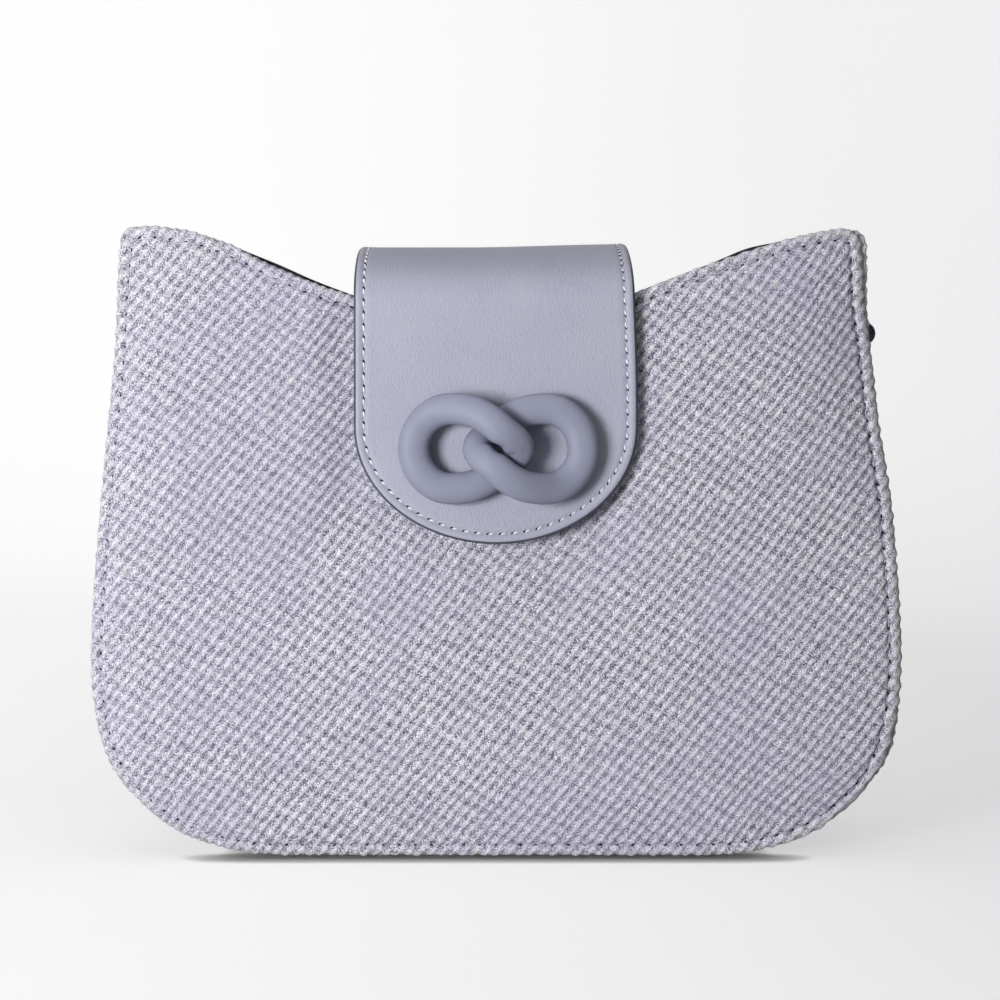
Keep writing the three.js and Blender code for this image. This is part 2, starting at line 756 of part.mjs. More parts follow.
// A D ring, its bar in the tab's eye and its bow hanging below
function dRingBody(side) {
  const half = ringInnerWide / 2 + ringWireRadius;
  const outline = new THREE.Path();
  outline.moveTo(-half + ringCorner, 0);
  outline.lineTo(half - ringCorner, 0);
  outline.absarc(half - ringCorner, -ringCorner, ringCorner, Math.PI / 2, 0, true);
  outline.lineTo(half, -ringLeg);
  outline.absarc(0, -ringLeg, half, 0, -Math.PI, true);
  outline.lineTo(-half, -ringCorner);
  outline.absarc(-half + ringCorner, -ringCorner, ringCorner, Math.PI, Math.PI / 2, true);
  const stations = 36;
  const sides = 8;
  const line = outline.getSpacedPoints(stations).slice(0, stations);
  const rings = line.map((p, i) => {
    const before = line[(i + stations - 1) % stations];
    const after = line[(i + 1) % stations];
    const along = after.clone().sub(before).normalize();
    const ring = [];
    for (let j = 0; j < sides; j++) {
      const turn = 2 * Math.PI * (j + 0.5) / sides;
      const across = Math.cos(turn) * ringWireRadius;
      const x = side * (ringOut + Math.sin(turn) * ringWireRadius);
      ring.push(new THREE.Vector3(x, p.x + along.y * across, p.y - along.x * across));
    }
    return side > 0 ? ring : ring.reverse();
  });
  return closedSweep(rings);
}

const bag = new THREE.Group();

for (const [name, side, bulge] of [['front', -1, frontBulge], ['back', 1, backBulge]]) {
  const boardDepth = clothThick + layerGap;
  const liningDepth = boardDepth + boardThick + layerGap;
  const inset = flangeWide + gussetThick + layerGap;
  let panel = swollenLayer(layerOutline(0, 0), side, bulge, 0, clothThick);
  let stiffener = swollenLayer(layerOutline(inset, boardTopDrop), side, bulge, boardDepth, boardThick);
  const lining = swollenLayer(layerOutline(inset, liningTopDrop), side, bulge, liningDepth, liningThick);
  if (side < 0) {
    panel = cutFrom(panel, [socketHole()]);
    stiffener = cutFrom(stiffener, [boardHole()]);
  }
  bag.add(named(`${name}_panel`, panel, weave));
  bag.add(named(`${name}_stiffener`, stiffener, board));
  bag.add(named(`${name}_lining`, lining, darkCloth));
}

bag.add(named('gusset', gussetBody(), weave));
bag.add(named('gusset_lining', gussetLiningBody(), darkCloth));
bag.add(named('base_board', baseBoardBody(), board));
bag.add(named('flap_anchor', flapAnchorBody(), leather));
bag.add(named('magnet_socket', magnetSocketBody(), steel));
bag.add(named('socket_washer', washerBody(panelBoardHigh - boardThick + socketWasherSeat), steel));

bag.add(named('flap_outer', flapOuterBody(), leather));
bag.add(named('flap_board', flapBoardBody(), board));
bag.add(named('flap_lining', flapLiningBody(), leather));
bag.add(named('magnet_stud', magnetStudBody(), steel));
bag.add(named('stud_washer', washerBody(flapBoardLow + studWasherSeat), steel));

for (const [name, side] of [['left', -1], ['right', 1]]) {
  bag.add(named(`${name}_link`, linkBody(side), moulded));
  const place = ringPlace(side);
  place.add(named(`${name}_ring_tab`, ringTabBody(side), leather));
  place.add(named(`${name}_d_ring`, dRingBody(side), darkMetal));
  bag.add(place);
}

for (const { side, up, x, y } of screwPlaces) {
  const name = `${side < 0 ? 'left' : 'right'}_link_screw_${up > 0 ? 'upper' : 'lower'}`;
  bag.add(named(name, linkScrewBody(x, y), steel));
}

// The origin is on the floor under the middle of the whole bag
bag.updateMatrixWorld(true);
const middle = new THREE.Box3().setFromObject(bag).getCenter(new THREE.Vector3());
bag.position.y = -middle.y;

export default bag;
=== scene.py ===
import math
import bpy
import numpy as np
from mathutils import Matrix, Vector
from mathutils.geometry import delaunay_2d_cdt


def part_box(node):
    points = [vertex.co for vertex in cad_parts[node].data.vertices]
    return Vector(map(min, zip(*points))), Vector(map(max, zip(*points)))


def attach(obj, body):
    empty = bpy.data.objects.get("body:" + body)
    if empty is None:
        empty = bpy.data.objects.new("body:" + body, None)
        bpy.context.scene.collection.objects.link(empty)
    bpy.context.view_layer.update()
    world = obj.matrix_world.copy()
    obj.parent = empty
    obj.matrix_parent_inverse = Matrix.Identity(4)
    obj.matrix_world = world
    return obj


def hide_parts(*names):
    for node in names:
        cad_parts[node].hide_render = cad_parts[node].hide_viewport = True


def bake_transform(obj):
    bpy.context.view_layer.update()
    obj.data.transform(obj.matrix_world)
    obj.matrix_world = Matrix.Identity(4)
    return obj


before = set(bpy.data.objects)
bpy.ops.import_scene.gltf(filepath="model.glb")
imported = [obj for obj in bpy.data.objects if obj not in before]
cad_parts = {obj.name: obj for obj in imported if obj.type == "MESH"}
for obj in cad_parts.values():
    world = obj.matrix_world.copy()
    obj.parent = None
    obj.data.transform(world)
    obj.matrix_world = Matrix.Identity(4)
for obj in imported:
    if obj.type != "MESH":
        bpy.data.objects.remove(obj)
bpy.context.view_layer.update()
print("frame loaded")

# Shapes are worked out in millimetres, X to the right, -Y to the front, Z up, and become metres in meshFrom
mm = 0.001


def boxOf(node):
    low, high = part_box(node)
    return np.array(low) / mm, np.array(high) / mm


middleY = (boxOf("gusset")[0][1] + boxOf("gusset")[1][1]) / 2

bagShape = {
    "baseHalfFlat": 80,
    "widestHalf": boxOf("front_panel")[1][0],
    "widestHeight": 66,
    "hornSideHalf": 121.5,
    "hornPeakHalf": 116,
    "hornHeight": boxOf("front_panel")[1][2],
    "dipDrop": 32.5,
    "hornRound": 6,
    "sideLean": 2.7,
    "sideLeanLength": 29,
    "bottomEase": 32,
    "cornerEase": 44,
    "sideEase": 30,
    "baseHalfDepth": 37,
    "hornHalfDepth": 31,
    "frontBulge": 5,
    "backBulge": 4,
    "bulgeReach": 18,
    "clothThick": 1.8,
    "gussetThick": 1.6,
    "flangeWide": 6,
    "seamInset": 3.75,  # from the edge to the stitch line
}


def smooth(value, low, high):
    part = np.clip((np.asarray(value, float) - low) / (high - low), 0, 1)
    return part * part * (3 - 2 * part)


def unit(vectors):
    return vectors / np.linalg.norm(vectors, axis=1)[:, None]


# The direction a quarter turn to the left of each
def leftOf(along):
    return np.stack([-along[:, 1], along[:, 0]], 1)


def cubic(corners, part):
    a, b, c, d = (np.array(corner, float) for corner in corners)
    t = part[:, None]
    place = a * (1 - t) ** 3 + 3 * b * t * (1 - t) ** 2 + 3 * c * t * t * (1 - t) + d * t ** 3
    along = 3 * (b - a) * (1 - t) ** 2 + 6 * (c - b) * t * (1 - t) + 3 * (d - c) * t * t
    return place, unit(along)


# Points on an arc, with one radius or one each way
def arc(centre, radii, start, end, count):
    turn = np.linspace(start, end, count)
    return np.array(centre) + np.multiply(radii, np.stack([np.cos(turn), np.sin(turn)], 1))


def arcLengths(points):
    steps = np.linalg.norm(np.diff(points, axis=0), axis=1)
    return np.concatenate([[0], np.cumsum(steps)])


def atLengths(points, values, wanted):
    lengths = arcLengths(points)
    return np.stack([np.interp(wanted, lengths, column) for column in np.asarray(values, float).T], 1)


# The right half of the side seam, from the middle of the bottom to the horn, as (x, z)
def seamHalf():
    b = bagShape
    flat, wide, high = b["baseHalfFlat"], b["widestHalf"], b["widestHeight"]
    side, top = b["hornSideHalf"], b["hornHeight"]
    corners = [
        [(0, 0), (flat / 3, 0), (2 * flat / 3, 0), (flat, 0)],
        [(flat, 0), (flat + b["bottomEase"], 0), (wide, high - b["cornerEase"]), (wide, high)],
        [(wide, high), (wide, high + b["sideEase"]), (side + b["sideLean"], top - b["sideLeanLength"]),
         (side, top)],
    ]
    places, alongs = zip(*(cubic(four, np.linspace(0, 1, 161)) for four in corners))
    place, along = np.concatenate(places), np.concatenate(alongs)
    return place, -leftOf(along)


seamPoints, seamOut = seamHalf()
seamLengths = arcLengths(seamPoints)
seamCoarse = seamPoints[::6]


# Place on the seam and outward direction at a length from the bottom's middle, negative on the left
def seamAt(length):
    far, side = np.abs(length), np.sign(length) + (length == 0)
    point = np.stack([np.interp(far, seamLengths, seamPoints[:, i]) for i in (0, 1)], 1)
    out = np.stack([np.interp(far, seamLengths, seamOut[:, i]) for i in (0, 1)], 1)
    point[:, 0] *= side
    out[:, 0] *= side
    return point, out


def topEdge(x):
    b = bagShape
    part = np.minimum(np.abs(x), b["hornPeakHalf"]) / b["hornPeakHalf"]
    return b["hornHeight"] - b["dipDrop"] * (1 + np.cos(np.pi * part)) / 2


def halfDepth(z):
    b = bagShape
    return b["baseHalfDepth"] - (b["baseHalfDepth"] - b["hornHalfDepth"]) * z / b["hornHeight"]


# How the sewn cloth lies off its plain pattern: the mouth sags beside the flap, the panel puffs out
# round the flap, both lower corners draw in, and the front's lower edge is a little off the ground
clothLie = {
    "sags": [(-66, 23, 3.4), (88, 28, 2.2)],  # centre, reach and depth along the mouth
    "sagFade": 70,
    "puff": 3.2,
    "puffSpans": ((-45, -62), (34, 48)),  # it rises farther out on the left than on the right
    "puffFrom": (96, 130),
    "puffTo": (204, 176),
    "layerSpread": 1.4,  # how far the gusset's edge shows past the front panel's at the right
    "layerAt": (38, 14),  # height and reach
    "waist": 1.9,  # how much the right side draws in between the horn and the middle
    "waistSpans": ((112, 150), (182, 200), (92, 122)),  # where it begins and ends upward, and across
    "waistLeast": 0.3,
    "footRise": 0.9,
    "cutShares": (0.75, 0.65),  # how much of a corner's cut goes inward and upward
    # Each with its amount, then the spans up and across over which it comes in
    "cornerSpread": (0.3, (62, 0), (70, 112)),
    "cornerCut": (2.3, (36, 10), (68, 96)),  # both lower corners draw in from the pattern's round
    "hornLean": (1.3, (150, 210), (96, 122)),  # the front panel's right horn leans in
    "leftFlare": (2.0, (160, 203), (115, 121)),  # the left horn's edge turns out
    "gussetFlare": (0.9, (150, 205), (60, 115)),
}


# How much of one of these changes there is at a place
def lieAt(label, x, z):
    amount, up, across = clothLie[label]
    return amount * smooth(z, *up) * smooth(x, *across)


def cornerCut(x, z):
    inward, upward = clothLie["cutShares"]
    cut = lieAt("cornerCut", np.abs(x), z)
    return inward * np.sign(x) * cut, upward * cut


def waist(x, z):
    begin, end, across = clothLie["waistSpans"]
    height = smooth(z, *begin) * (1 - 0.7 * smooth(z, *end))
    return (clothLie["waist"] * height + clothLie["waistLeast"]) * smooth(x, *across)


def layerSpread(x, z):
    height, reach = clothLie["layerAt"]
    return clothLie["layerSpread"] * np.exp(-((z - height) / reach) ** 2) * smooth(x, 70, 112)


def footRise(z):
    return clothLie["footRise"] * smooth(z, 40, 0)


def settle(x, z, front):
    c = clothLie
    sag = sum(depth * np.exp(-((x - at) / reach) ** 2) for at, reach, depth in c["sags"])
    cutIn, cutUp = cornerCut(x, z)
    out = lieAt("cornerSpread", x, z) - waist(x, z) - cutIn
    down = cutUp - sag * smooth(topEdge(x) - z, c["sagFade"], 0)
    if front:
        out = out - lieAt("hornLean", x, z) - lieAt("leftFlare", -x, z)
        down = down + footRise(z)
    else:
        out = out + layerSpread(x, z)
    return x + out, z + down


def awayFrom(probe, a, b):
    run = b - a
    part = np.clip((probe - a) @ run / (run @ run), 0, 1)
    return np.linalg.norm(probe - a - part[:, None] * run, axis=1)


def seamDistance(x, z):
    probe = np.stack([np.abs(x), z], 1)
    return np.min([awayFrom(probe, a, b) for a, b in zip(seamCoarse[:-1], seamCoarse[1:])], axis=0)


def loopLength(points):
    return arcLengths(np.vstack([points, points[:1]]))[-1]


def evenLoop(points, count):
    ring = np.vstack([points, points[:1]])
    return atLengths(ring, ring, np.linspace(0, arcLengths(ring)[-1], count, endpoint=False))


def closedLoop(points, step):
    return evenLoop(points, int(loopLength(points) / step))


# Outline of a panel's layer in (x, z), drawn in from the seam and from the top edge
def panelOutline(sideInset, topInset, step):
    b = bagShape
    side = seamPoints - seamOut * sideInset
    bend = b["hornRound"]
    side = side[(side[:, 0] >= 0) & (side[:, 1] < topEdge(side[:, 0]) - topInset - bend)]
    foot = side[-1]
    top = np.array([foot[0] - bend, topEdge(foot[0] - bend) - topInset])
    corner = np.array([foot[0], topEdge(foot[0]) - topInset])
    hold = 0.552  # makes the curve nearly a quarter circle
    four = [foot, foot + (corner - foot) * hold, top + (corner - top) * hold, top]
    horn = cubic(four, np.linspace(0, 1, 20))[0][1:]
    x = np.linspace(top[0], 0, 200)[1:]
    dip = np.stack([x, topEdge(x) - topInset], 1)
    right = np.vstack([side, horn, dip])
    left = right[1:-1][::-1] * [-1, 1]
    return closedLoop(np.vstack([right, left]), step)


def loopAlong(loop):
    return unit(np.roll(loop, -1, 0) - np.roll(loop, 1, 0))


def loopInward(loop):
    return leftOf(loopAlong(loop))


# The points that lie inside the loop and farther from it than the margin
def insideLoop(loop, probe, margin):
    nearest = np.full(len(probe), 1e9)
    crossings = np.zeros(len(probe), int)
    coarse = loop[::3]
    for a, b in zip(coarse, np.roll(coarse, -1, 0)):
        nearest = np.minimum(nearest, awayFrom(probe, a, b))
        if a[1] != b[1]:
            spans = (probe[:, 1] > min(a[1], b[1])) & (probe[:, 1] <= max(a[1], b[1]))
            at = a[0] + (probe[:, 1] - a[1]) * (b[0] - a[0]) / (b[1] - a[1])
            crossings += spans & (at > probe[:, 0])
    return probe[(crossings % 2 == 1) & (nearest > margin)]


def gridInside(loop, across, along, margin):
    low, high = loop.min(0), loop.max(0)
    grid = np.meshgrid(np.arange(low[0], high[0], across), np.arange(low[1], high[1], along), indexing="ij")
    return insideLoop(loop, np.stack(grid, -1).reshape(-1, 2), margin)


# A flat pattern's width and height, and its area, in metres
def patternOf(outline):
    area = float(np.abs(np.cross(outline, np.roll(outline, -1, 0)).sum() / 2)) * mm * mm
    return (np.ptp(outline[:, 0]) * mm, np.ptp(outline[:, 1]) * mm), area


# Triangles over a closed loop and the points inside it, the loop's points first
def fillLoop(loop, inner):
    points = np.vstack([loop, inner])
    edges = [(i, (i + 1) % len(loop)) for i in range(len(loop))]
    made = delaunay_2d_cdt([tuple(p) for p in points], edges, [], 1, 1e-6)
    source = np.array([ids[0] if len(ids) else -1 for ids in made[3]])
    triangles = source[np.array(made[2])]
    triangles = triangles[(triangles >= 0).all(1)]
    a, b, c = (points[triangles[:, i]] for i in range(3))
    turn = (b - a)[:, 0] * (c - a)[:, 1] - (b - a)[:, 1] * (c - a)[:, 0]
    triangles[turn < 0] = triangles[turn < 0][:, ::-1]
    return triangles


def addObject(name, data):
    made = bpy.data.objects.new(name, data)
    bpy.context.scene.collection.objects.link(made)
    return made


def addVectors(mesh, label, values):
    attribute = mesh.attributes.new(label, "FLOAT_VECTOR", "POINT")
    attribute.data.foreach_set("vector", np.asarray(values, np.float32).ravel())


def meshFrom(name, points, groups, materials, floats=None):
    mesh = bpy.data.meshes.new(name)
    corners = np.concatenate([np.asarray(faces).ravel() for faces, _ in groups])
    sizes = np.concatenate([np.full(len(faces), np.shape(faces)[1]) for faces, _ in groups])
    slots = np.concatenate([np.full(len(faces), slot) for faces, slot in groups])
    mesh.vertices.add(len(points))
    mesh.loops.add(len(corners))
    mesh.polygons.add(len(sizes))
    for part, label, values, kind in (
            (mesh.vertices, "co", np.asarray(points, float) * mm, np.float32),
            (mesh.loops, "vertex_index", corners, np.int32),
            (mesh.polygons, "loop_start", np.cumsum(sizes) - sizes, np.int32),
            (mesh.polygons, "material_index", slots, np.int32),
            (mesh.polygons, "use_smooth", np.ones(len(sizes)), bool)):
        part.foreach_set(label, values.astype(kind).ravel())
    for label, values in (floats or {}).items():
        addVectors(mesh, label, values)
    mesh.update(calc_edges=True)
    mesh.validate()
    for material in materials:
        mesh.materials.append(material)
    return addObject(name, mesh)


def ringFaces(first, second, count):
    i = np.arange(count)
    j = (i + 1) % count
    return np.stack([first + j, first + i, second + i, second + j], 1)


# What the leather and lining finishes read: the place on the flat pattern
def flatLabel(flat, face, lift):
    return {"flat": np.stack([flat[:, 0], flat[:, 1], lift], 1)}


# A closed sheet: its face inside the loop, then rings of (inset, lift) round its edge, then its back.
# place(points, lift) gives the real position, and bare is the span of rings in the second material
def buildSheet(name, loop, rings, inner, backInner, place, materials, label, bare=(0, 0)):
    count = len(loop)
    insets, lifts = zip(*rings)
    loops = [loop + loopInward(loop) * inset for inset in insets]
    flat = np.vstack(loops + [inner, backInner])
    sizes = [count] * len(rings) + [len(inner), len(backInner)]
    lift = np.repeat(np.array([*lifts, lifts[0], lifts[-1]], float), sizes)
    innerStart = count * len(rings)
    front = fillLoop(loops[0], inner)
    front = np.where(front >= count, front - count + innerStart, front)
    backStart = innerStart + len(inner)
    lastStart = count * (len(rings) - 1)
    back = fillLoop(loops[-1], backInner)[:, ::-1]
    back = np.where(back >= count, back - count + backStart, back + lastStart)
    groups = [(front, 0), (back, 0)]
    for k in range(len(rings) - 1):
        groups.append((ringFaces(k * count, (k + 1) * count, count), int(bare[0] <= k < bare[1])))
    face = np.ones(len(flat))
    face[lastStart:innerStart] = 0
    face[backStart:] = 0
    return meshFrom(name, place(flat, lift), groups, materials, label(flat, face, lift))


# Node trees

def socketOf(sockets, key):
    if isinstance(key, int):
        return sockets[key]
    return next(s for s in sockets if s.name == key and s.enabled)


# A value in a node tree; sums and products of these become Math nodes
class Term:
    def __init__(self, socket):
        self.socket = socket

    def calc(self, operation, other=0.0):
        return term("ShaderNodeMath", {0: self, 1: other}, operation=operation)

    def __add__(self, other):
        return self.calc("ADD", other)

    def __sub__(self, other):
        return self.calc("SUBTRACT", other)

    def __mul__(self, other):
        return self.calc("MULTIPLY", other)

    def __truediv__(self, other):
        return self.calc("DIVIDE", other)


def feed(node, values):
    for key, value in values.items():
        socket = socketOf(node.inputs, key)
        if isinstance(value, Term):
            node.id_data.links.new(value.socket, socket)
        else:
            socket.default_value = value


def addNode(tree, kind, values=None, **settings):
    node = tree.nodes.new(kind)
    for key, value in settings.items():
        setattr(node, key, value)
    feed(node, values or {})
    return node


# One output of a new node, in the tree its values come from unless another is given
def term(kind, values=None, output=0, tree=None, **settings):
    if tree is None:
        tree = next(value.socket.id_data for value in values.values() if isinstance(value, Term))
    return Term(socketOf(addNode(tree, kind, values, **settings).outputs, output))


def joined(x, y, z=0.0):
    return term("ShaderNodeCombineXYZ", {0: x, 1: y, 2: z})


def parted(place):
    node = addNode(place.socket.id_data, "ShaderNodeSeparateXYZ", {0: place})
    return [Term(output) for output in node.outputs]


def noiseAt(place, scale, detail=2.0, roughness=0.5, distortion=0.0):
    return term("ShaderNodeTexNoise", {"Vector": place, "Scale": scale, "Detail": detail,
                                       "Roughness": roughness, "Distortion": distortion})


def remap(value, low, high, newLow, newHigh):
    return term("ShaderNodeMapRange", {0: value, 1: low, 2: high, 3: newLow, 4: newHigh}, clamp=True)


# The cloth's two yarns cross on a slanted lattice: u counts the ridges, v the knots along one
weaveCloth = {
    "uOfX": 0.2726,
    "uOfZ": -0.2184,
    "vOfX": -0.1145,
    "vOfZ": -0.1858,
    "ridgeWidth": 0.27,  # share of the ridge spacing at which a ridge has fallen to a third
    "knotShare": 0.3,  # how much lower a ridge is between two knots
    "valleyRise": 0.42,  # how far a valley comes up beside a knot
    "relief": 0.95,
    "knotVariety": 0.3,
    "yarnFuzz": 0.42,
    "wander": 0.1,
    "ridgeStep": 5,  # mesh points per ridge spacing
    "knotStep": 5,
}


def wobble(points, wave, seed):
    random = np.random.default_rng(seed)
    total = np.zeros(len(points))
    for _ in range(7):
        turn, phase = random.uniform(0, 2 * np.pi, 2)
        length = wave * random.uniform(0.6, 1.7)
        run = points @ np.array([np.cos(turn), np.sin(turn)])
        total += np.sin(2 * np.pi * run / length + phase)
    return total / 7 ** 0.5


def latticeOf(points, mask, seed):
    w = weaveCloth
    u = w["uOfX"] * points[:, 0] + w["uOfZ"] * points[:, 1]
    v = w["vOfX"] * points[:, 0] + w["vOfZ"] * points[:, 1]
    u = u + w["wander"] * (wobble(points, 60, seed) + 0.5 * wobble(points, 14, seed + 1))
    v = v + w["wander"] * (wobble(points, 45, seed + 2) + 0.7 * wobble(points, 9, seed + 3))
    return np.stack([u, v, mask], 1)


def latticeGrid(low, high):
    w = weaveCloth
    steps = np.array([[w["uOfX"], w["uOfZ"]], [w["vOfX"], w["vOfZ"]]])
    back = np.linalg.inv(steps)
    corners = np.array([[x, y] for x in (low[0], high[0]) for y in (low[1], high[1])]) @ steps.T
    us = np.arange(corners[:, 0].min(), corners[:, 0].max(), 1 / w["ridgeStep"])
    vs = np.arange(corners[:, 1].min(), corners[:, 1].max(), 1 / w["knotStep"])
    return np.stack(np.meshgrid(us, vs, indexing="ij"), -1).reshape(-1, 2) @ back.T


# Height of the yarns over the bottom of the pits, 0 to 1, and a number that differs from knot to knot
def yarnHeight(u, v):
    w = weaveCloth
    nearU = u.calc("ROUND")
    share = (u - nearU) / w["ridgeWidth"]
    ridge = (share * share * -1.0).calc("EXPONENT")
    knot = (v * (2 * math.pi)).calc("COSINE") * 0.5 + 0.5
    crest = knot * w["knotShare"] + (1.0 - w["knotShare"])
    valley = knot * w["valleyRise"]
    own = term("ShaderNodeTexWhiteNoise", {"Vector": joined(nearU, v.calc("ROUND"), 3.0)})
    return valley + ridge * (crest - valley), own


def startGeometryTree(name, inputs):
    tree = bpy.data.node_groups.new(name, "GeometryNodeTree")
    tree.interface.new_socket("Geometry", in_out="OUTPUT", socket_type="NodeSocketGeometry")
    tree.interface.new_socket("Geometry", in_out="INPUT", socket_type="NodeSocketGeometry")
    for label, kind in inputs.items():
        tree.interface.new_socket(label, in_out="INPUT", socket_type="NodeSocket" + kind)
    given = addNode(tree, "NodeGroupInput")
    return tree, {socket.name: Term(socket) for socket in given.outputs if socket.name}


def endGeometryTree(tree, geometry, material):
    real = term("GeometryNodeRealizeInstances", {"Geometry": geometry})
    ended = term("GeometryNodeSetMaterial", {"Geometry": real, "Material": material})
    addNode(tree, "NodeGroupOutput", {0: ended})
    return tree


def storedAt(tree, label):
    return term("GeometryNodeInputNamedAttribute", {"Name": label}, "Attribute", tree,
                data_type="FLOAT_VECTOR")


def makeReliefTree():
    kinds = {"Relief": "Float", "Variety": "Float", "Fuzz": "Float", "Material": "Material"}
    tree, given = startGeometryTree("woven relief", kinds)
    u, v, mask = parted(storedAt(tree, "lattice"))
    height, own = yarnHeight(u, v)
    height = height * ((own - 0.5) * given["Variety"] + 1.0)
    fine = (noiseAt(joined(u * 3.6, v * 6.5), 1.0) - 0.5) * given["Fuzz"]
    height = (height - 0.55 + fine) * given["Relief"] * mask
    normal = term("GeometryNodeInputNormal", tree=tree)
    offset = term("ShaderNodeVectorMath", {0: normal, "Scale": height}, operation="SCALE")
    moved = term("GeometryNodeSetPosition", {"Geometry": given["Geometry"], "Offset": offset})
    return endGeometryTree(tree, moved, given["Material"])


# Repeats a small rounded grain along a line of points that carries its surface's direction in "facing"
def makeSeamTree():
    numbers = ("Pitch", "Start", "Length", "Width", "Height", "Slant", "Looseness")
    kinds = {**dict.fromkeys(numbers, "Float"), "Seed": "Int", "Material": "Material"}
    tree, given = startGeometryTree("seam grains", kinds)
    curve = term("GeometryNodeMeshToCurve", {0: given["Geometry"]})
    cut = term("GeometryNodeTrimCurve", {0: curve, 4: given["Start"], 5: 1000.0}, mode="LENGTH")
    points = term("GeometryNodeResampleCurve", {"Curve": cut, "Length": given["Pitch"]}, mode="LENGTH")
    ball = term("GeometryNodeMeshUVSphere", {"Segments": 8, "Rings": 6, "Radius": 0.5}, tree=tree)
    size = joined(given["Length"], given["Width"], given["Height"])
    grain = term("GeometryNodeTransform", {"Geometry": ball, "Scale": size})
    along = term("GeometryNodeInputTangent", tree=tree)
    turned = term("FunctionNodeAlignRotationToVector", {"Vector": along}, axis="X")
    upright = term("FunctionNodeAlignRotationToVector",
                   {"Rotation": turned, "Vector": storedAt(tree, "facing")}, axis="Z", pivot_axis="X")
    loose = term("FunctionNodeRandomValue", {"Min": given["Looseness"] * -1.0, "Max": given["Looseness"],
                                             "Seed": given["Seed"]}, "Value", data_type="FLOAT")
    spin = term("FunctionNodeEulerToRotation", {0: joined(0.0, 0.0, given["Slant"] + loose)})
    final = term("FunctionNodeRotateRotation", {"Rotation": upright, "Rotate By": spin},
                 rotation_space="LOCAL")
    placed = term("GeometryNodeInstanceOnPoints", {"Points": points, "Instance": grain, "Rotation": final})
    return endGeometryTree(tree, placed, given["Material"])


# Makes a piece's modifiers part of its mesh, all of it in one material
def bake(piece, material):
    graph = bpy.context.evaluated_depsgraph_get()
    graph.update()
    made = bpy.data.meshes.new_from_object(piece.evaluated_get(graph), preserve_all_data_layers=True,
                                           depsgraph=graph)
    piece.modifiers.clear()
    piece.data = made
    made.materials.clear()
    made.materials.append(material)
    made.polygons.foreach_set("material_index", np.zeros(len(made.polygons), np.int32))
    made.polygons.foreach_set("use_smooth", np.ones(len(made.polygons), bool))
    return piece


def runTree(piece, tree, values):
    names = {item.name: item.identifier for item in tree.interface.items_tree if item.in_out == "INPUT"}
    modifier = piece.modifiers.new(tree.name, "NODES")
    modifier.node_group = tree
    for label, value in values.items():
        modifier[names[label]] = value
    return bake(piece, values["Material"])


reliefTree = makeReliefTree()
seamTree = makeSeamTree()
print("node trees ready")


# Materials

def tint(red, green, blue):
    def linear(value):
        value = value / 255
        return value / 12.92 if value <= 0.04045 else ((value + 0.055) / 1.055) ** 2.4
    return (linear(red), linear(green), linear(blue), 1.0)


def startMaterial(name, roughness, specular=0.5, metallic=0.0, sheen=0.0):
    material = bpy.data.materials.new(name)
    material.use_nodes = True
    shader = material.node_tree.nodes["Principled BSDF"]
    feed(shader, {"Roughness": roughness, "Specular IOR Level": specular, "Metallic": metallic,
                  "Sheen Weight": sheen})
    return material, material.node_tree, shader


def mixTints(part, first, second):
    return term("ShaderNodeMix", {0: part, 6: first, 7: second}, 2, data_type="RGBA")


def rampOf(part, stops):
    ramp = addNode(part.socket.id_data, "ShaderNodeValToRGB", {0: part})
    while len(ramp.color_ramp.elements) < len(stops):
        ramp.color_ramp.elements.new(0.5)
    for element, (place, colour) in zip(ramp.color_ramp.elements, stops):
        element.position = place
        element.color = colour
    return Term(ramp.outputs[0])


def bumpOf(height, distance):
    return term("ShaderNodeBump", {"Strength": 1.0, "Distance": distance * mm, "Height": height})


def objectPlace(tree):
    return term("ShaderNodeTexCoord", output="Object", tree=tree)


def ownPlace(tree, label):
    return term("ShaderNodeAttribute", output="Vector", tree=tree, attribute_name=label)


# The pit tint is painted shade for the hollows between the yarns and the crest tint a painted highlight on
# their tops; the rim tint is partly painted light
yarnTints = {
    "pitShade": tint(84, 83, 98),
    "ground": tint(140, 138, 155),
    "yarn": tint(192, 191, 203),
    "crest": tint(240, 239, 245),
    "lavender": tint(168, 166, 196),
    "cream": tint(216, 213, 204),
    "rim": tint(228, 226, 225),
}


yarnLook = {
    "strands": (4.6, 13.0, 0.6),  # how fine across and along the ridges, and how slanted
    "fibres": 2300.0,
    "loose": (3.5, 1.9),  # the pits show more single fibres than the crests
    "heightShadeTone": 0.56,
    "strandTone": 0.9,
    "knotTone": 0.08,
    "toneDrop": 0.27,
    "lavender": 0.24,
    "cream": 0.4,
    "rim": (0.1, 0.5),
}


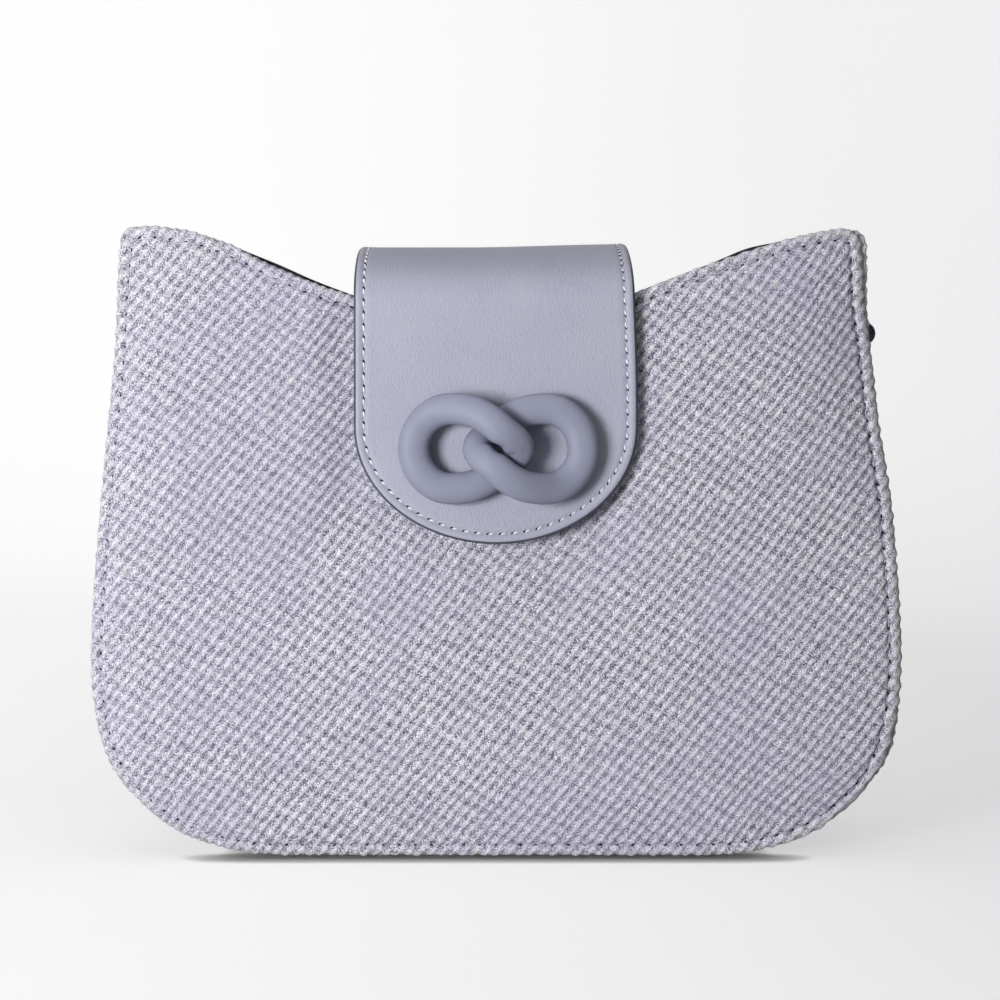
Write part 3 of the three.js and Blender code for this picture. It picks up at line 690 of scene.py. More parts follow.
def makeWeaveMaterial():
    look = yarnLook
    material, tree, shader = startMaterial("woven yarn", 0.9, 0.2, sheen=0.08)
    u, v, _ = parted(ownPlace(tree, "lattice"))
    height, own = yarnHeight(u, v)
    place = objectPlace(tree)
    across, along, slant = look["strands"]
    strands = noiseAt(joined(u * across, (v + u * slant) * along), 1.0, 1.0, 0.6)
    fibres = noiseAt(place, look["fibres"], 1.0, 0.6)
    # painted shade and light: the tone follows the yarns' height, darker in the pits, lighter on the crests
    tone = height * look["heightShadeTone"] + strands * look["strandTone"]
    tone = tone + (fibres - 0.5) * remap(height, 0.25, 0.8, *look["loose"]) + own * look["knotTone"]
    tone = tone - look["toneDrop"]
    stops = zip((0.0, 0.3, 0.6, 1.0), ("pitShade", "ground", "yarn", "crest"))
    yarn = rampOf(tone, [(at, yarnTints[name]) for at, name in stops])
    patches = remap(noiseAt(place, 22.0), 0.4, 0.65, 0.0, look["lavender"])
    yarn = mixTints(patches, yarn, yarnTints["lavender"])
    creamy = remap(noiseAt(joined(u, v, 7.0), 1.3, 1.0), 0.62, 0.75, 0.0, look["cream"])
    yarn = mixTints(creamy, yarn, yarnTints["cream"])
    # the rim's pale tint, partly the flange's own yarn and partly painted light
    rim = parted(ownPlace(tree, "rim"))[0] * remap(fibres, 0.35, 0.6, *look["rim"])
    feed(shader, {"Base Color": mixTints(rim, yarn, yarnTints["rim"]),
                  "Normal": bumpOf(strands * 0.5 + fibres, 0.4)})
    return material


def makeLeatherMaterial(name, colour, deeper, roughness):
    material, tree, shader = startMaterial(name, roughness, 0.4)
    x, s, _ = parted(ownPlace(tree, "flat"))
    lines = noiseAt(joined(x * 1.9, s * 0.55), 1.0, 3.0, 0.6, 0.6)
    pores = noiseAt(joined(x, s), 3.2, 2.0, 0.6)
    clouds = noiseAt(joined(x, s), 0.035)
    tone = remap(lines * 0.6 + clouds * 0.6, 0.4, 0.8, 0.0, 1.0)
    feed(shader, {"Base Color": mixTints(tone, tint(*deeper), tint(*colour)),
                  "Roughness": remap(pores, 0.3, 0.7, roughness - 0.05, roughness + 0.06),
                  "Normal": bumpOf(lines + pores * 0.35, 0.22)})
    return material


# A finish for small hard or plain pieces: two close tints in soft patches and a fine bump
def makePlainMaterial(name, colour, deeper, roughness, scale, bump, specular=0.5, metallic=0.0):
    material, tree, shader = startMaterial(name, roughness, specular, metallic)
    place = objectPlace(tree)
    fine = noiseAt(place, scale, 3.0, 0.6)
    broad = remap(noiseAt(place, scale / 12), 0.35, 0.65, 0.0, 1.0)
    feed(shader, {"Base Color": mixTints(broad, tint(*deeper), tint(*colour)),
                  "Roughness": remap(fine, 0.3, 0.7, roughness - 0.04, roughness + 0.04),
                  "Normal": bumpOf(fine, bump)})
    return material


def makeLiningMaterial():
    material, tree, shader = startMaterial("lining cloth", 0.85, 0.2)
    x, s, _ = parted(ownPlace(tree, "flat"))
    twill = ((x + s) * (2 * math.pi / 0.8)).calc("SINE")
    cross = ((x - s) * (2 * math.pi / 1.7)).calc("SINE")
    weft = twill + cross * 0.35
    tone = remap(weft * 0.16 + noiseAt(objectPlace(tree), 900.0), 0.2, 0.8, 0.0, 1.0)
    feed(shader, {"Base Color": mixTints(tone, tint(30, 29, 34), tint(52, 51, 58)),
                  "Normal": bumpOf(weft, 0.06)})
    return material


# Each with its tint, deeper tint, roughness, grain scale and bump, then specular and metallic if not usual
plainFinishes = {
    "edgePaint": ("painted leather edge", (80, 79, 93), (66, 65, 78), 0.5, 900.0, 0.04, 0.3),
    "whiteThread": ("flap thread", (232, 232, 238), (212, 212, 222), 0.6, 2600.0, 0.08),
    "lavenderThread": ("seam thread", (184, 182, 202), (160, 158, 180), 0.65, 2600.0, 0.08),
    # painted shade: dark grains whose colour stands in for the shade inside the needle holes
    "needleHoleShade": ("needle hole", (38, 36, 46), (24, 23, 30), 0.9, 1500.0, 0.02, 0.1),
    "resin": ("moulded resin", (136, 138, 158), (131, 133, 153), 0.52, 700.0, 0.012, 0.28),
    "ringMetal": ("gunmetal plating", (84, 83, 88), (70, 69, 75), 0.3, 500.0, 0.004, 0.5, 1.0),
    "steel": ("nickel plated steel", (188, 187, 184), (170, 169, 168), 0.28, 800.0, 0.004, 0.5, 1.0),
    "board": ("stiff board", (150, 146, 138), (134, 130, 124), 0.9, 400.0, 0.05, 0.2),
}
leatherFinishes = {
    "leather": ("flap leather", (166, 167, 183), (155, 156, 174), 0.52),
    "backing": ("flap backing leather", (156, 157, 173), (144, 145, 163), 0.6),
}
materials = {key: makePlainMaterial(*values) for key, values in plainFinishes.items()}
materials.update({key: makeLeatherMaterial(*values) for key, values in leatherFinishes.items()})
materials["weave"] = makeWeaveMaterial()
materials["lining"] = makeLiningMaterial()
print("materials ready")


def finishPiece(piece, body, nodes=()):
    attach(piece, body)
    if nodes:
        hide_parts(*nodes)


def seamLine(name, points, facing, values, material):
    edges = [(i, i + 1) for i in range(len(points) - 1)]
    mesh = bpy.data.meshes.new(name)
    mesh.from_pydata([tuple(p) for p in np.asarray(points) * mm], edges, [])
    addVectors(mesh, "facing", facing)
    piece = addObject(name, mesh)
    lengths = {key: values[key] * mm for key in ("Pitch", "Start", "Length", "Width", "Height")}
    return runTree(piece, seamTree, {**values, **lengths, "Material": material})


def joinPieces(name, parts):
    points, groups, offset, slots = [], [], 0, []
    for part in parts:
        mesh = part.data
        co = np.zeros(len(mesh.vertices) * 3)
        mesh.vertices.foreach_get("co", co)
        points.append(co.reshape(-1, 3) / mm)
        for face in (3, 4):
            chosen = [tuple(p.vertices) for p in mesh.polygons if len(p.vertices) == face]
            if chosen:
                if mesh.materials[0] not in slots:
                    slots.append(mesh.materials[0])
                groups.append((np.array(chosen) + offset, slots.index(mesh.materials[0])))
        offset += len(mesh.vertices)
        bpy.data.objects.remove(part)
    return meshFrom(name, np.vstack(points), groups, slots)


# Front and back panels

panelCloth = {
    "edgeStep": 0.85,
    "grooveRing": 3,  # the ring that lies in the stitch groove
    "grooveRelief": 0.45,
    "rimFlatter": 0.25,
    "fieldMargin": 0.45,
    "backGrid": (12, 12, 7),  # steps across and up, and margin
    # From the field over the stitch groove and round the rolled edge to the back, as (inset, lift)
    "rings": [(5.2, 0), (4.6, -0.16), (4.15, -0.6), (3.75, -0.9), (3.35, -0.55), (2.7, 0.04),
              (1.8, 0.16), (0.9, -0.04), (0.3, -0.45), (0, -1.0), (0.2, -1.55), (1.0, -1.8)],
    "pillow": 0.45,  # soft waves of the stuffed panel
    "fullerLeft": 8,  # the front's left side turns into its seam in so much less a width
    "rimShare": (0, 0, 0, 0, 0.1, 0.4, 0.8, 1, 1, 1, 1, 1),  # how far each ring counts as the rim, whose pale tint is partly the flange's own yarn and partly painted light
    "snapFlat": 9,  # the cloth is pressed flat within this radius of the snap
}

snapCentre = (boxOf("magnet_socket")[0] + boxOf("magnet_socket")[1]) / 2


def panelPlace(side, bulge):
    def face(x, z):
        reach = bagShape["bulgeReach"] - panelCloth["fullerLeft"] * smooth(-x, 40, 100) * (side < 0)
        swell = bulge * (1 - np.exp(-seamDistance(x, z) / reach))
        waves = panelCloth["pillow"] * wobble(np.stack([x, z], 1), 95, 11 + side)
        if side < 0:
            c = clothLie
            around = sum(smooth(x, *span) for span in c["puffSpans"])
            waves = waves + c["puff"] * around * smooth(z, *c["puffFrom"]) * smooth(z, *c["puffTo"])
        return halfDepth(z) + swell + waves * smooth(swell, 0, bulge)

    def place(flat, lift):
        x, z = flat[:, 0] * -side, flat[:, 1]
        y = face(x, z)
        step = 0.5
        slopeX = (face(x + step, z) - y) / step
        slopeZ = (face(x, z + step) - y) / step
        normal = unit(np.stack([-slopeX, np.ones(len(x)), -slopeZ], 1))
        real = np.stack([x, y, z], 1) + normal * np.asarray(lift)[:, None]
        real[:, 1] = real[:, 1] * side + middleY
        settled = settle(x, z, side < 0)
        real[:, 0] += settled[0] - x
        real[:, 2] += settled[1] - z
        return real
    return place


def facingOf(place, flat):
    lift = np.ones(len(flat))
    return unit(place(flat, lift) - place(flat, 0 * lift))


def weaveRelief(piece):
    w = weaveCloth
    runTree(piece, reliefTree, {"Relief": w["relief"] * mm, "Variety": w["knotVariety"],
                                "Fuzz": w["yarnFuzz"], "Material": materials["weave"]})


panelStitch = {"Pitch": 5.3, "Start": 0.0, "Length": 4.0, "Width": 0.55, "Height": 0.7, "Slant": 0.0,
               "Looseness": 0.05, "Seed": 5}
panelHoleShade = {**panelStitch, "Start": 2.65, "Length": 1.4, "Width": 0.6, "Height": 0.6, "Slant": 0.15,
             "Looseness": 0.4, "Seed": 6}


# The thread's grains, and between them dark grains of painted shade for the needle holes
def seamPair(name, points, facing, stitch, hole, thread, threadLift, holeLift):
    threads = seamLine(name + "_thread", points + facing * threadLift, facing, stitch, materials[thread])
    holes = seamLine(name + "_holes", points + facing * holeLift, facing, hole, materials["needleHoleShade"])
    return joinPieces(name, [threads, holes])


def makePanel(name, side, bulge, seed):
    outline = panelOutline(0, 0, panelCloth["edgeStep"])
    place = panelPlace(side, bulge)
    field = latticeGrid(outline.min(0), outline.max(0))
    field = insideLoop(outline, field, panelCloth["rings"][0][0] + panelCloth["fieldMargin"])
    back = gridInside(outline, *panelCloth["backGrid"])

    def label(flat, face, lift):
        mask = face.copy()
        if side < 0:
            away = np.linalg.norm(flat - snapCentre[[0, 2]], axis=1)
            mask *= smooth(away, panelCloth["snapFlat"] - 2, panelCloth["snapFlat"])
        rim = np.zeros(len(flat))
        rim[:len(outline) * len(panelCloth["rings"])] = np.repeat(panelCloth["rimShare"], len(outline))
        groove = len(outline) * panelCloth["grooveRing"]
        mask[groove:groove + len(outline)] *= panelCloth["grooveRelief"]
        mask *= 1 - panelCloth["rimFlatter"] * rim
        # painted light: the pale rim is laid on more strongly towards the pattern's right, where the front
        # panel lies in shade
        rim *= 0.3 + 0.7 * smooth(flat[:, 0], 70, 115)
        return {"lattice": latticeOf(flat, mask, seed), "rim": np.outer(rim, [1, 0, 0])}

    piece = buildSheet(name, outline, panelCloth["rings"], field, back, place, [materials["weave"]], label)
    weaveRelief(piece)
    seam = outline + loopInward(outline) * bagShape["seamInset"]
    seam = np.vstack([seam, seam[:1]])
    facing = facingOf(place, seam)
    stitches = seamPair(name + "_stitches", place(seam, np.full(len(seam), -0.9)), facing,
                        panelStitch, panelHoleShade, "lavenderThread", 0.1, 0.26)
    return piece, stitches, *patternOf(outline)


for panelName, side, bulge, seed in (("front_panel", -1, bagShape["frontBulge"], 21),
                                     ("back_panel", 1, bagShape["backBulge"], 31)):
    cloth, stitches, size, area = makePanel(panelName + "_cloth", side, bulge, seed)
    finishPiece(cloth, "bag_body", [panelName])
    finishPiece(stitches, "bag_body")
    print(panelName, "ready:", len(cloth.data.vertices), "points")


# Gusset: a strip along the seam, its outer faces standing up as flanges behind the panels' edges

gussetCloth = {
    "topDrop": 0.7,
    "bendRound": 2.2,
    "alongStep": 0.95,
    "acrossStep": 0.8,
    "rings": [(3.2, 0), (2.2, 0.05), (1.3, 0.08), (0.6, -0.1), (0.15, -0.45), (0, -0.8), (0.2, -1.25),
              (0.9, -1.6)],
    "panelGap": 0.3,
}


# Half the bag's depth inside the panels' cloth, at a height
def gussetReach(z):
    return halfDepth(z) - bagShape["clothThick"] - gussetCloth["panelGap"]


gussetMidHalf = gussetReach(bagShape["hornHeight"] / 2) - bagShape["gussetThick"]


# The strip's visible face across the bag, as (inset, y) and the direction it faces
def gussetSection():
    half, flange, turn = gussetMidHalf, bagShape["flangeWide"], gussetCloth["bendRound"]
    bend, facing = (arc(centre, radius, math.pi / 2, 0, 8)[1:]
                    for centre, radius in (((flange - turn, half - turn), turn), ((0, 0), 1)))
    places = np.vstack([[(0, half), (flange - turn, half)], bend, [(flange, 0)]])
    faces = np.vstack([[(0, -1), (0, -1)], -facing, [(-1, 0)]])
    return [np.vstack([part, part[-2::-1] * [1, -1]]) for part in (places, faces)]


def gussetPlace(flat, lift):
    section, faces = gussetSection()
    across = np.clip(flat[:, 1], 0, arcLengths(section)[-1])
    at = atLengths(section, section, across)
    face = unit(atLengths(section, faces, across))
    point, out = seamAt(flat[:, 0])
    x, z = point[:, 0], point[:, 1]
    reach = gussetReach(z) - bagShape["gussetThick"]
    y = at[:, 1] * reach / gussetMidHalf + face[:, 1] * lift
    inset = at[:, 0] + face[:, 0] * lift
    real = point - out * inset[:, None]
    edge = 1 - smooth(inset, 1.5, 5.5)
    cutIn, cutUp = cornerCut(x, z)
    flare = lieAt("gussetFlare", x, z) + lieAt("cornerSpread", x, z) + layerSpread(x, z)
    flare = flare - (waist(x, z) + cutIn) * edge
    rise = footRise(z) * smooth(-y, 0, 20) + cutUp * edge
    return np.stack([real[:, 0] + flare, y + middleY, real[:, 1] + rise], 1)


def roundedBox(low, high, corner, step):
    left, right = low[0] + corner, high[0] - corner
    foot, top = low[1] + corner, high[1] - corner
    quarters = enumerate([(right, foot), (right, top), (left, top), (left, foot)], -1)
    quarter = math.pi / 2
    return closedLoop(np.vstack([arc(centre, corner, i * quarter, (i + 1) * quarter, 7)
                                 for i, centre in quarters]), step)


def makeGusset():
    g = gussetCloth
    reach = seamLengths[-1] - g["topDrop"]
    width = arcLengths(gussetSection()[0])[-1]
    loop = roundedBox((-reach, 0), (reach, width), 4.0, g["alongStep"])
    field = gridInside(loop, g["alongStep"], g["acrossStep"], g["rings"][0][0] + 0.5)
    back = gridInside(loop, 6, 2.0, 2.5)

    def label(flat, face, lift):
        rim = 1 - smooth(np.minimum(flat[:, 1], width - flat[:, 1]), 2.0, 4.0)
        return {"lattice": latticeOf(flat, 0.85 * face, 41), "rim": np.outer(rim, [1, 0, 0])}

    piece = buildSheet("gusset_cloth", loop, g["rings"], field, back, gussetPlace, [materials["weave"]],
                       label)
    weaveRelief(piece)
    return piece, (2 * reach * mm, width * mm)


gussetPiece, gussetSize = makeGusset()
finishPiece(gussetPiece, "bag_body", ["gusset"])
print("gusset ready:", len(gussetPiece.data.vertices), "points")


# Linings

liningCloth = {
    "thick": 0.6,
    "depth": 3.6,  # behind a panel's outer face
    "topDepth": 1.95,  # where it is sewn to the panel at the mouth
    "topEase": 4.5,
    "sideInset": 8.0,
    "gussetInset": 7.8,
    "mouthGap": 0.6,  # between the ends of the gusset and of its lining
    "baseHigh": 44,
    "baseInset": 2.3,  # more than that over the bottom, where the base board lies
    "panelInset": 4.35,  # from the bag's half depth to the edge of the gusset's lining
    # Where the front lining stands over the woven edge: centre, reach and height along the mouth
    "frontShows": [(-69, 11, 1.25), (-55, 9, 0.45), (82, 8, 1.1)],
    "rings": [(1.2, 0), (0.4, 0.02), (0.08, -0.1), (0, -0.3), (0.08, -0.5), (0.5, -0.6)],
}


def makeLining(node, outline, grid, place, size, rests, **given):
    inner = gridInside(outline, *grid)
    piece = buildSheet(node + "_cloth", outline, liningCloth["rings"], inner, inner, place,
                       [materials["lining"]], flatLabel)
    finishPiece(piece, "bag_body", [node])


def makePanelLining(node, side, bulge, rests):
    c = liningCloth
    outline = panelOutline(c["sideInset"], 0.15, 2.0)

    def place(flat, lift):
        x, z = flat[:, 0] * side, flat[:, 1]
        below = topEdge(x) - z
        depth = c["topDepth"] + (c["depth"] - c["topDepth"]) * smooth(below, 0, c["topEase"])
        swell = bulge * (1 - np.exp(-seamDistance(x, z) / bagShape["bulgeReach"]))
        y = side * (halfDepth(z) + swell - depth - c["thick"] - lift)
        x, z = settle(x, z, False)
        if side < 0:
            shown = sum(rise * np.exp(-((x - at) / reach) ** 2) for at, reach, rise in c["frontShows"])
            z = z + shown * smooth(below, 8, 0)
        return np.stack([x, y + middleY, z], 1)

    size, area = patternOf(outline)
    makeLining(node, outline, (4, 4, 2.4), place, size, rests, area=area)


def makeGussetLining():
    c = liningCloth
    reach = seamLengths[-1] - gussetCloth["topDrop"] - c["mouthGap"]
    halfMid = halfDepth(bagShape["hornHeight"] / 2) - c["panelInset"]

    def place(flat, lift):
        point, out = seamAt(flat[:, 0])
        z = point[:, 1]
        inset = c["gussetInset"] + c["baseInset"] * (1 - smooth(z, 0, c["baseHigh"])) + c["thick"] + lift
        y = flat[:, 1] * (halfDepth(z) - c["panelInset"]) / halfMid
        real = point - out * inset[:, None]
        return np.stack([real[:, 0], y + middleY, real[:, 1]], 1)

    loop = roundedBox((-reach, -halfMid), (reach, halfMid), 1.5, 2.0)
    makeLining("gusset_lining", loop, (3.5, 4, 2.0), place, (2 * reach * mm, 2 * halfMid * mm), "base_board")


makePanelLining("front_lining", -1, bagShape["frontBulge"], "front_stiffener")
makePanelLining("back_lining", 1, bagShape["backBulge"], "back_stiffener")
makeGussetLining()
print("linings ready")


# Flap: its leather runs from the tip up the front, over the mouth, round the hinge and down the back

flap = {
    "halfWide": boxOf("flap_outer")[1][0],
    "tipLength": 38,
    "tipHeight": 104.7,
    "bendHeight": 184,
    "crestHeight": boxOf("flap_outer")[1][2],
    "crestDepth": 2,
    "hingeHeight": boxOf("flap_anchor")[1][2] - 0.09,
    "snapStack": 4.6,
    "thick": 3.1,
    "anchorLength": 61.5,
    "anchorRound": 13,
    "anchorGap": 0.3,
    "seamInset": 3.35,
    "rings": [(6, 0), (4.4, 0.08), (3.8, -0.06), (3.35, -0.34), (2.95, -0.1), (2.3, 0.16), (1.5, 0.22),
              (1.1, 0.14), (0.75, -0.02), (0.3, -0.28), (0.05, -0.6), (0, -0.95), (0, -1.5),
              (0.6, -1.55), (4.6, -1.2)],
    "paintedRings": (8, 13),
    "backingRings": [(6, 0), (4.4, 0), (3.75, 0.06), (3.35, 0.2), (2.95, 0.06), (2.3, -0.02), (1.4, 0),
                     (1.1, -0.02), (0.75, -0.06), (0.3, -0.28), (0.05, -0.6), (0, -0.95), (0, -1.5),
                     (0.6, -1.5), (4.6, -0.8)],
    "skew": 2.0,  # the right edge draws in towards the crest
    "crestTilt": 1.1,  # the crest is higher on the right
    "gridStep": 1.3,
}


def flapInnerAt(z):
    return -(halfDepth(z) + bagShape["frontBulge"] + flap["snapStack"])


def flapPath():
    f = flap
    thick = f["thick"]
    low = np.array([flapInnerAt(f["tipHeight"]), f["tipHeight"]])
    bend = np.array([flapInnerAt(f["bendHeight"]), f["bendHeight"]])
    behind = bagShape["backBulge"] + f["anchorGap"]
    hinge = halfDepth(f["hingeHeight"]) + behind
    crest, rest = f["crestDepth"], f["crestHeight"] - thick
    rows = [low + (bend - low) * part for part in np.linspace(0, 1, 60)]
    rows += [*arc((crest, bend[1]), (crest - bend[0], rest - bend[1]), math.pi, math.pi / 2, 80)[1:]]
    rows += [*arc((crest, f["hingeHeight"]), (hinge - crest, rest - f["hingeHeight"]), math.pi / 2, 0,
                  70)[1:]]
    anchorLow = f["hingeHeight"] - f["anchorLength"]
    end = np.array([halfDepth(anchorLow) + behind, anchorLow])
    rows += [rows[-1] + (end - rows[-1]) * part for part in np.linspace(0, 1, 50)[1:]]
    return np.array(rows)


flapLine = flapPath()
flapLengths = arcLengths(flapLine)
flapOut = leftOf(unit(np.gradient(flapLine, flapLengths, axis=0)))


def onFlap(x, s, height):
    at = atLengths(flapLine, flapLine, s)
    real = at + unit(atLengths(flapLine, flapOut, s)) * np.asarray(height)[:, None]
    wide = flap["halfWide"]
    skew = flap["skew"] * smooth(s, 45, 115) * smooth(s, 165, 140) * smooth(x, -wide, wide)
    tilt = flap["crestTilt"] * smooth(x, -10, wide) * smooth(s, 75, 125) * smooth(s, 165, 140)
    return np.stack([x - skew, real[:, 0] + middleY, real[:, 1] + tilt], 1)


def flapOutline(step):
    f = flap
    wide, tip, corner = f["halfWide"], f["tipLength"], f["anchorRound"]
    right = np.vstack([arc((0, tip), (wide, tip), -math.pi / 2, 0, 50),
                       arc((wide - corner, flapLengths[-1] - corner), corner, 0, math.pi / 2, 16)])
    left = right[1:][::-1] * [-1, 1]
    return closedLoop(np.vstack([right, left]), step)


def makeFlapSheet(name, ringsName, material, toward):
    f = flap
    rings = f[ringsName]
    loop = flapOutline(0.9)
    if toward < 0:
        loop = closedLoop((loop * [-1, 1])[::-1], 0.9)
    inner = gridInside(loop, f["gridStep"], f["gridStep"], rings[0][0] + 0.6)
    back = gridInside(loop, 3.0, 3.0, rings[-1][0] + 1.5)

    def place(flat, lift):
        height = f["thick"] + lift if toward > 0 else -np.asarray(lift)
        return onFlap(flat[:, 0], np.clip(flat[:, 1], 0, flapLengths[-1]), height)

    return buildSheet(name, loop, rings, inner, back, place, [materials[material], materials["edgePaint"]],
                      flatLabel, f["paintedRings"])


flapLeather = makeFlapSheet("flap_leather", "rings", "leather", 1)
flapBacking = makeFlapSheet("flap_backing", "backingRings", "backing", -1)

whiteStitch = {"Pitch": 3.95, "Start": 0.0, "Length": 2.2, "Width": 0.72, "Height": 0.75, "Slant": 0.15,
               "Looseness": 0.05, "Seed": 8}
whiteHoleShade = {**whiteStitch, "Start": 2.2, "Length": 1.5, "Width": 0.7, "Height": 0.6, "Slant": 0.3,
             "Looseness": 0.08, "Seed": 9}


def flapSeam(height, facingSign):
    loop = flapOutline(0.9)
    line = loop + loopInward(loop) * flap["seamInset"]
    start = int(np.argmax(line[:, 1] - 0.001 * np.abs(line[:, 0])))
    line = np.vstack([line[start:], line[:start + 1]])
    if facingSign < 0:
        line = line[line[:, 1] < flapLengths[-1] - flap["anchorLength"] - 2]
    level = np.full(len(line), float(height))
    points = onFlap(line[:, 0], line[:, 1], level)
    facing = (onFlap(line[:, 0], line[:, 1], level + 1) - points) * facingSign
    return points, facing


outerPoints, outerFacing = flapSeam(flap["thick"] - 0.26, 1)
flapStitches = seamPair("flap_stitches", outerPoints, outerFacing, whiteStitch, whiteHoleShade, "whiteThread",
                        0.16, 0.1)
splitPoints, splitFacing = flapSeam(-0.15, -1)
backingStitches = seamPair("flap_backing_stitches", splitPoints, splitFacing, whiteStitch, whiteHoleShade,
                           "whiteThread", 0.1, 0.05)

for sewn, replaced in ((flapLeather, ["flap_outer", "flap_anchor"]), (flapBacking, ["flap_lining"]),
                       (flapStitches, []), (backingStitches, [])):
    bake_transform(sewn)
    if replaced:
        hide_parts(*replaced)
        2 * flap["halfWide"] * mm
print("flap ready")


# Links

links = {
    "height": 135.5,
    "arcRadius": 12.8,
    "arcOffset": 13.65,
    "arcAngles": (252, 228, 204, 180, 156, 132, 108),
    # The left link's line from its arc to its tip; below the tip it runs back as a mirror of this
    "shoulder": [(-8.7, 11.8), (-2.95, 9.0), (2.3, 4.6), (5.2, 2.3)],
    "tip": 6.35,
    "ease": 0.8,  # the line is smoothed over this length
    "wide": 9.9,
    "deep": 7.6,
    "seat": 0.55,
    "lift": 8.2,  # how far it rises where it passes over the other link
    "rise": 28,
    "diveShare": 0.92,
    "broad": 1.25,
    "eye": (0.85, 0.42),  # depth and reach of the hollow at the small gap between the two
    "slimAfterTip": 7,  # past its tip a strand stays slim on its inner side for this length
    "spread": (1.03, 1.025),
    "shift": (0.85, 0.05),
    "roundness": 2.3,
    "stations": 240,
    "sides": 40,
    "innerRound": 1.25,  # the inner side is at most this much of the turn's radius
    "innerEase": 1.0,
    "core": (3.95, 2.2, 6),  # radius of the round filling at the turn, its length before and after it
    "coreSides": 24,
    "coreRings": 13,
    "skinCell": 0.24,
    "skinEase": 24,
}
flapLean = math.atan2(flapInnerAt(flap["bendHeight"]) - flapInnerAt(flap["tipHeight"]),
                      flap["bendHeight"] - flap["tipHeight"])
flapThick = flap["thick"]
linkSeat = (0, middleY + flapInnerAt(links["height"]) - flapThick * math.cos(flapLean),
            links["height"] + flapThick * math.sin(flapLean))
flapFrame = Matrix.Translation(linkSeat) @ Matrix.Rotation(math.pi / 2 - flapLean, 4, "X")


def toFlapFrame(points):
    matrix = np.array(flapFrame)
    return points @ matrix[:3, :3].T + matrix[:3, 3]


# Averages the values round a closed line with their neighbours, spread being in points
def easedAlong(values, spread):
    reach = int(4 * spread)
    weights = np.exp(-0.5 * (np.arange(-reach, reach + 1) / spread) ** 2)
    weights /= weights.sum()
    return sum(w * np.roll(values, i - reach, 0) for i, w in enumerate(weights))


def linkMiddle():
    k = links
    rows = [(k["arcRadius"] * math.cos(math.radians(t)) - k["arcOffset"],
             k["arcRadius"] * math.sin(math.radians(t))) for t in k["arcAngles"]]
    rows += k["shoulder"] + [(k["tip"], 0)] + [(x, -y) for x, y in k["shoulder"][::-1]]
    line = closedSpline(np.array(rows, float), 40)
    count = k["stations"]
    step = loopLength(line) / count
    flat = easedAlong(evenLoop(line, count), k["ease"] / step)
    crossing = int(np.argmin(np.abs(flat[:, 0]) + 100 * (flat[:, 1] < 0)))
    tip = int(np.argmax(flat[:, 0]))
    past = (np.arange(count) - crossing + count / 2) % count - count / 2
    dive = 2 * (tip - crossing) * step * k["diveShare"]
    part = np.where(past > 0, np.clip(past * step / dive, 0, 1) ** k["broad"],
                    np.clip(-past * step / k["rise"], 0, 1))
    bell = 0.5 + 0.5 * np.cos(np.pi * part)
    return np.column_stack([flat, k["deep"] / 2 + k["seat"] + k["lift"] * bell])


# A smooth line from b up to c, with its speed at both
def stretch(b, c, first, second, fine):
    t = np.linspace(0, 1, fine, endpoint=False)[:, None]
    return (b + first * t + (3 * (c - b) - 2 * first - second) * t ** 2
            + (2 * (b - c) + first + second) * t ** 3)


# A closed smooth line through points, its speed in each stretch from the root of the stretch's length
def closedSpline(corners, fine):
    rows = []
    count = len(corners)
    for i in range(count):
        a, b, c, d = (corners[(i + k) % count] for k in (-1, 0, 1, 2))
        da, db, dc = (np.linalg.norm(q - p) ** 0.5 for p, q in ((a, b), (b, c), (c, d)))
        first = ((b - a) / da - (c - a) / (da + db) + (c - b) / db) * db
        second = ((c - b) / db - (d - b) / (db + dc) + (d - c) / dc) * db
        rows.append(stretch(b, c, first, second, fine))
    return np.vstack(rows)


# Joins rings of points into a closed tube; rings is (stations, sides, 3)
def tubeFaces(stations, sides, closed=True):
    i = np.arange(stations if closed else stations - 1)
    j = np.arange(sides)
    a, b = np.meshgrid(i, j, indexing="ij")
    c, d = (a + 1) % stations, (b + 1) % sides
    return np.stack([a * sides + b, a * sides + d, c * sides + d, c * sides + b], -1).reshape(-1, 4)


# Round filling along the middle of a strand near its tip, as small balls that become one with the tube
def coreBalls(middle):
    radius, before, after = links["core"]
    sides, rows = links["coreSides"], links["coreRings"]
    step = np.linalg.norm(middle[1] - middle[0])
    tip = int(np.argmax(middle[:, 0]))
    turn = np.linspace(0, 2 * np.pi, sides, endpoint=False)
    fall = np.linspace(0.02, np.pi - 0.02, rows)
    ball = np.stack([np.outer(np.sin(fall), np.cos(turn)), np.outer(np.sin(fall), np.sin(turn)),
                     np.outer(np.cos(fall), np.ones(sides))], -1)
    points, groups = [], []
    for station in range(tip - int(before / step), tip + int(after / step)):
        offset = sides * rows * len(points)
        points.append((ball * radius + middle[station]).reshape(-1, 3))
        groups.append((tubeFaces(rows, sides, False) + offset, 0))
        groups.append((np.arange(sides)[None] + offset, 0))
        groups.append((np.arange(sides)[None, ::-1] + (rows - 1) * sides + offset, 0))
    return np.vstack(points), groups


# One closed skin round everything a piece is made of
def skinOver(piece, cell, ease):
    remesh = piece.modifiers.new("skin", "REMESH")
    remesh.mode = "VOXEL"
    remesh.voxel_size = cell * mm
    remesh.use_smooth_shade = True
    eased = piece.modifiers.new("ease", "SMOOTH")
    eased.factor = 0.5
    eased.iterations = ease
    return bake(piece, piece.data.materials[0])


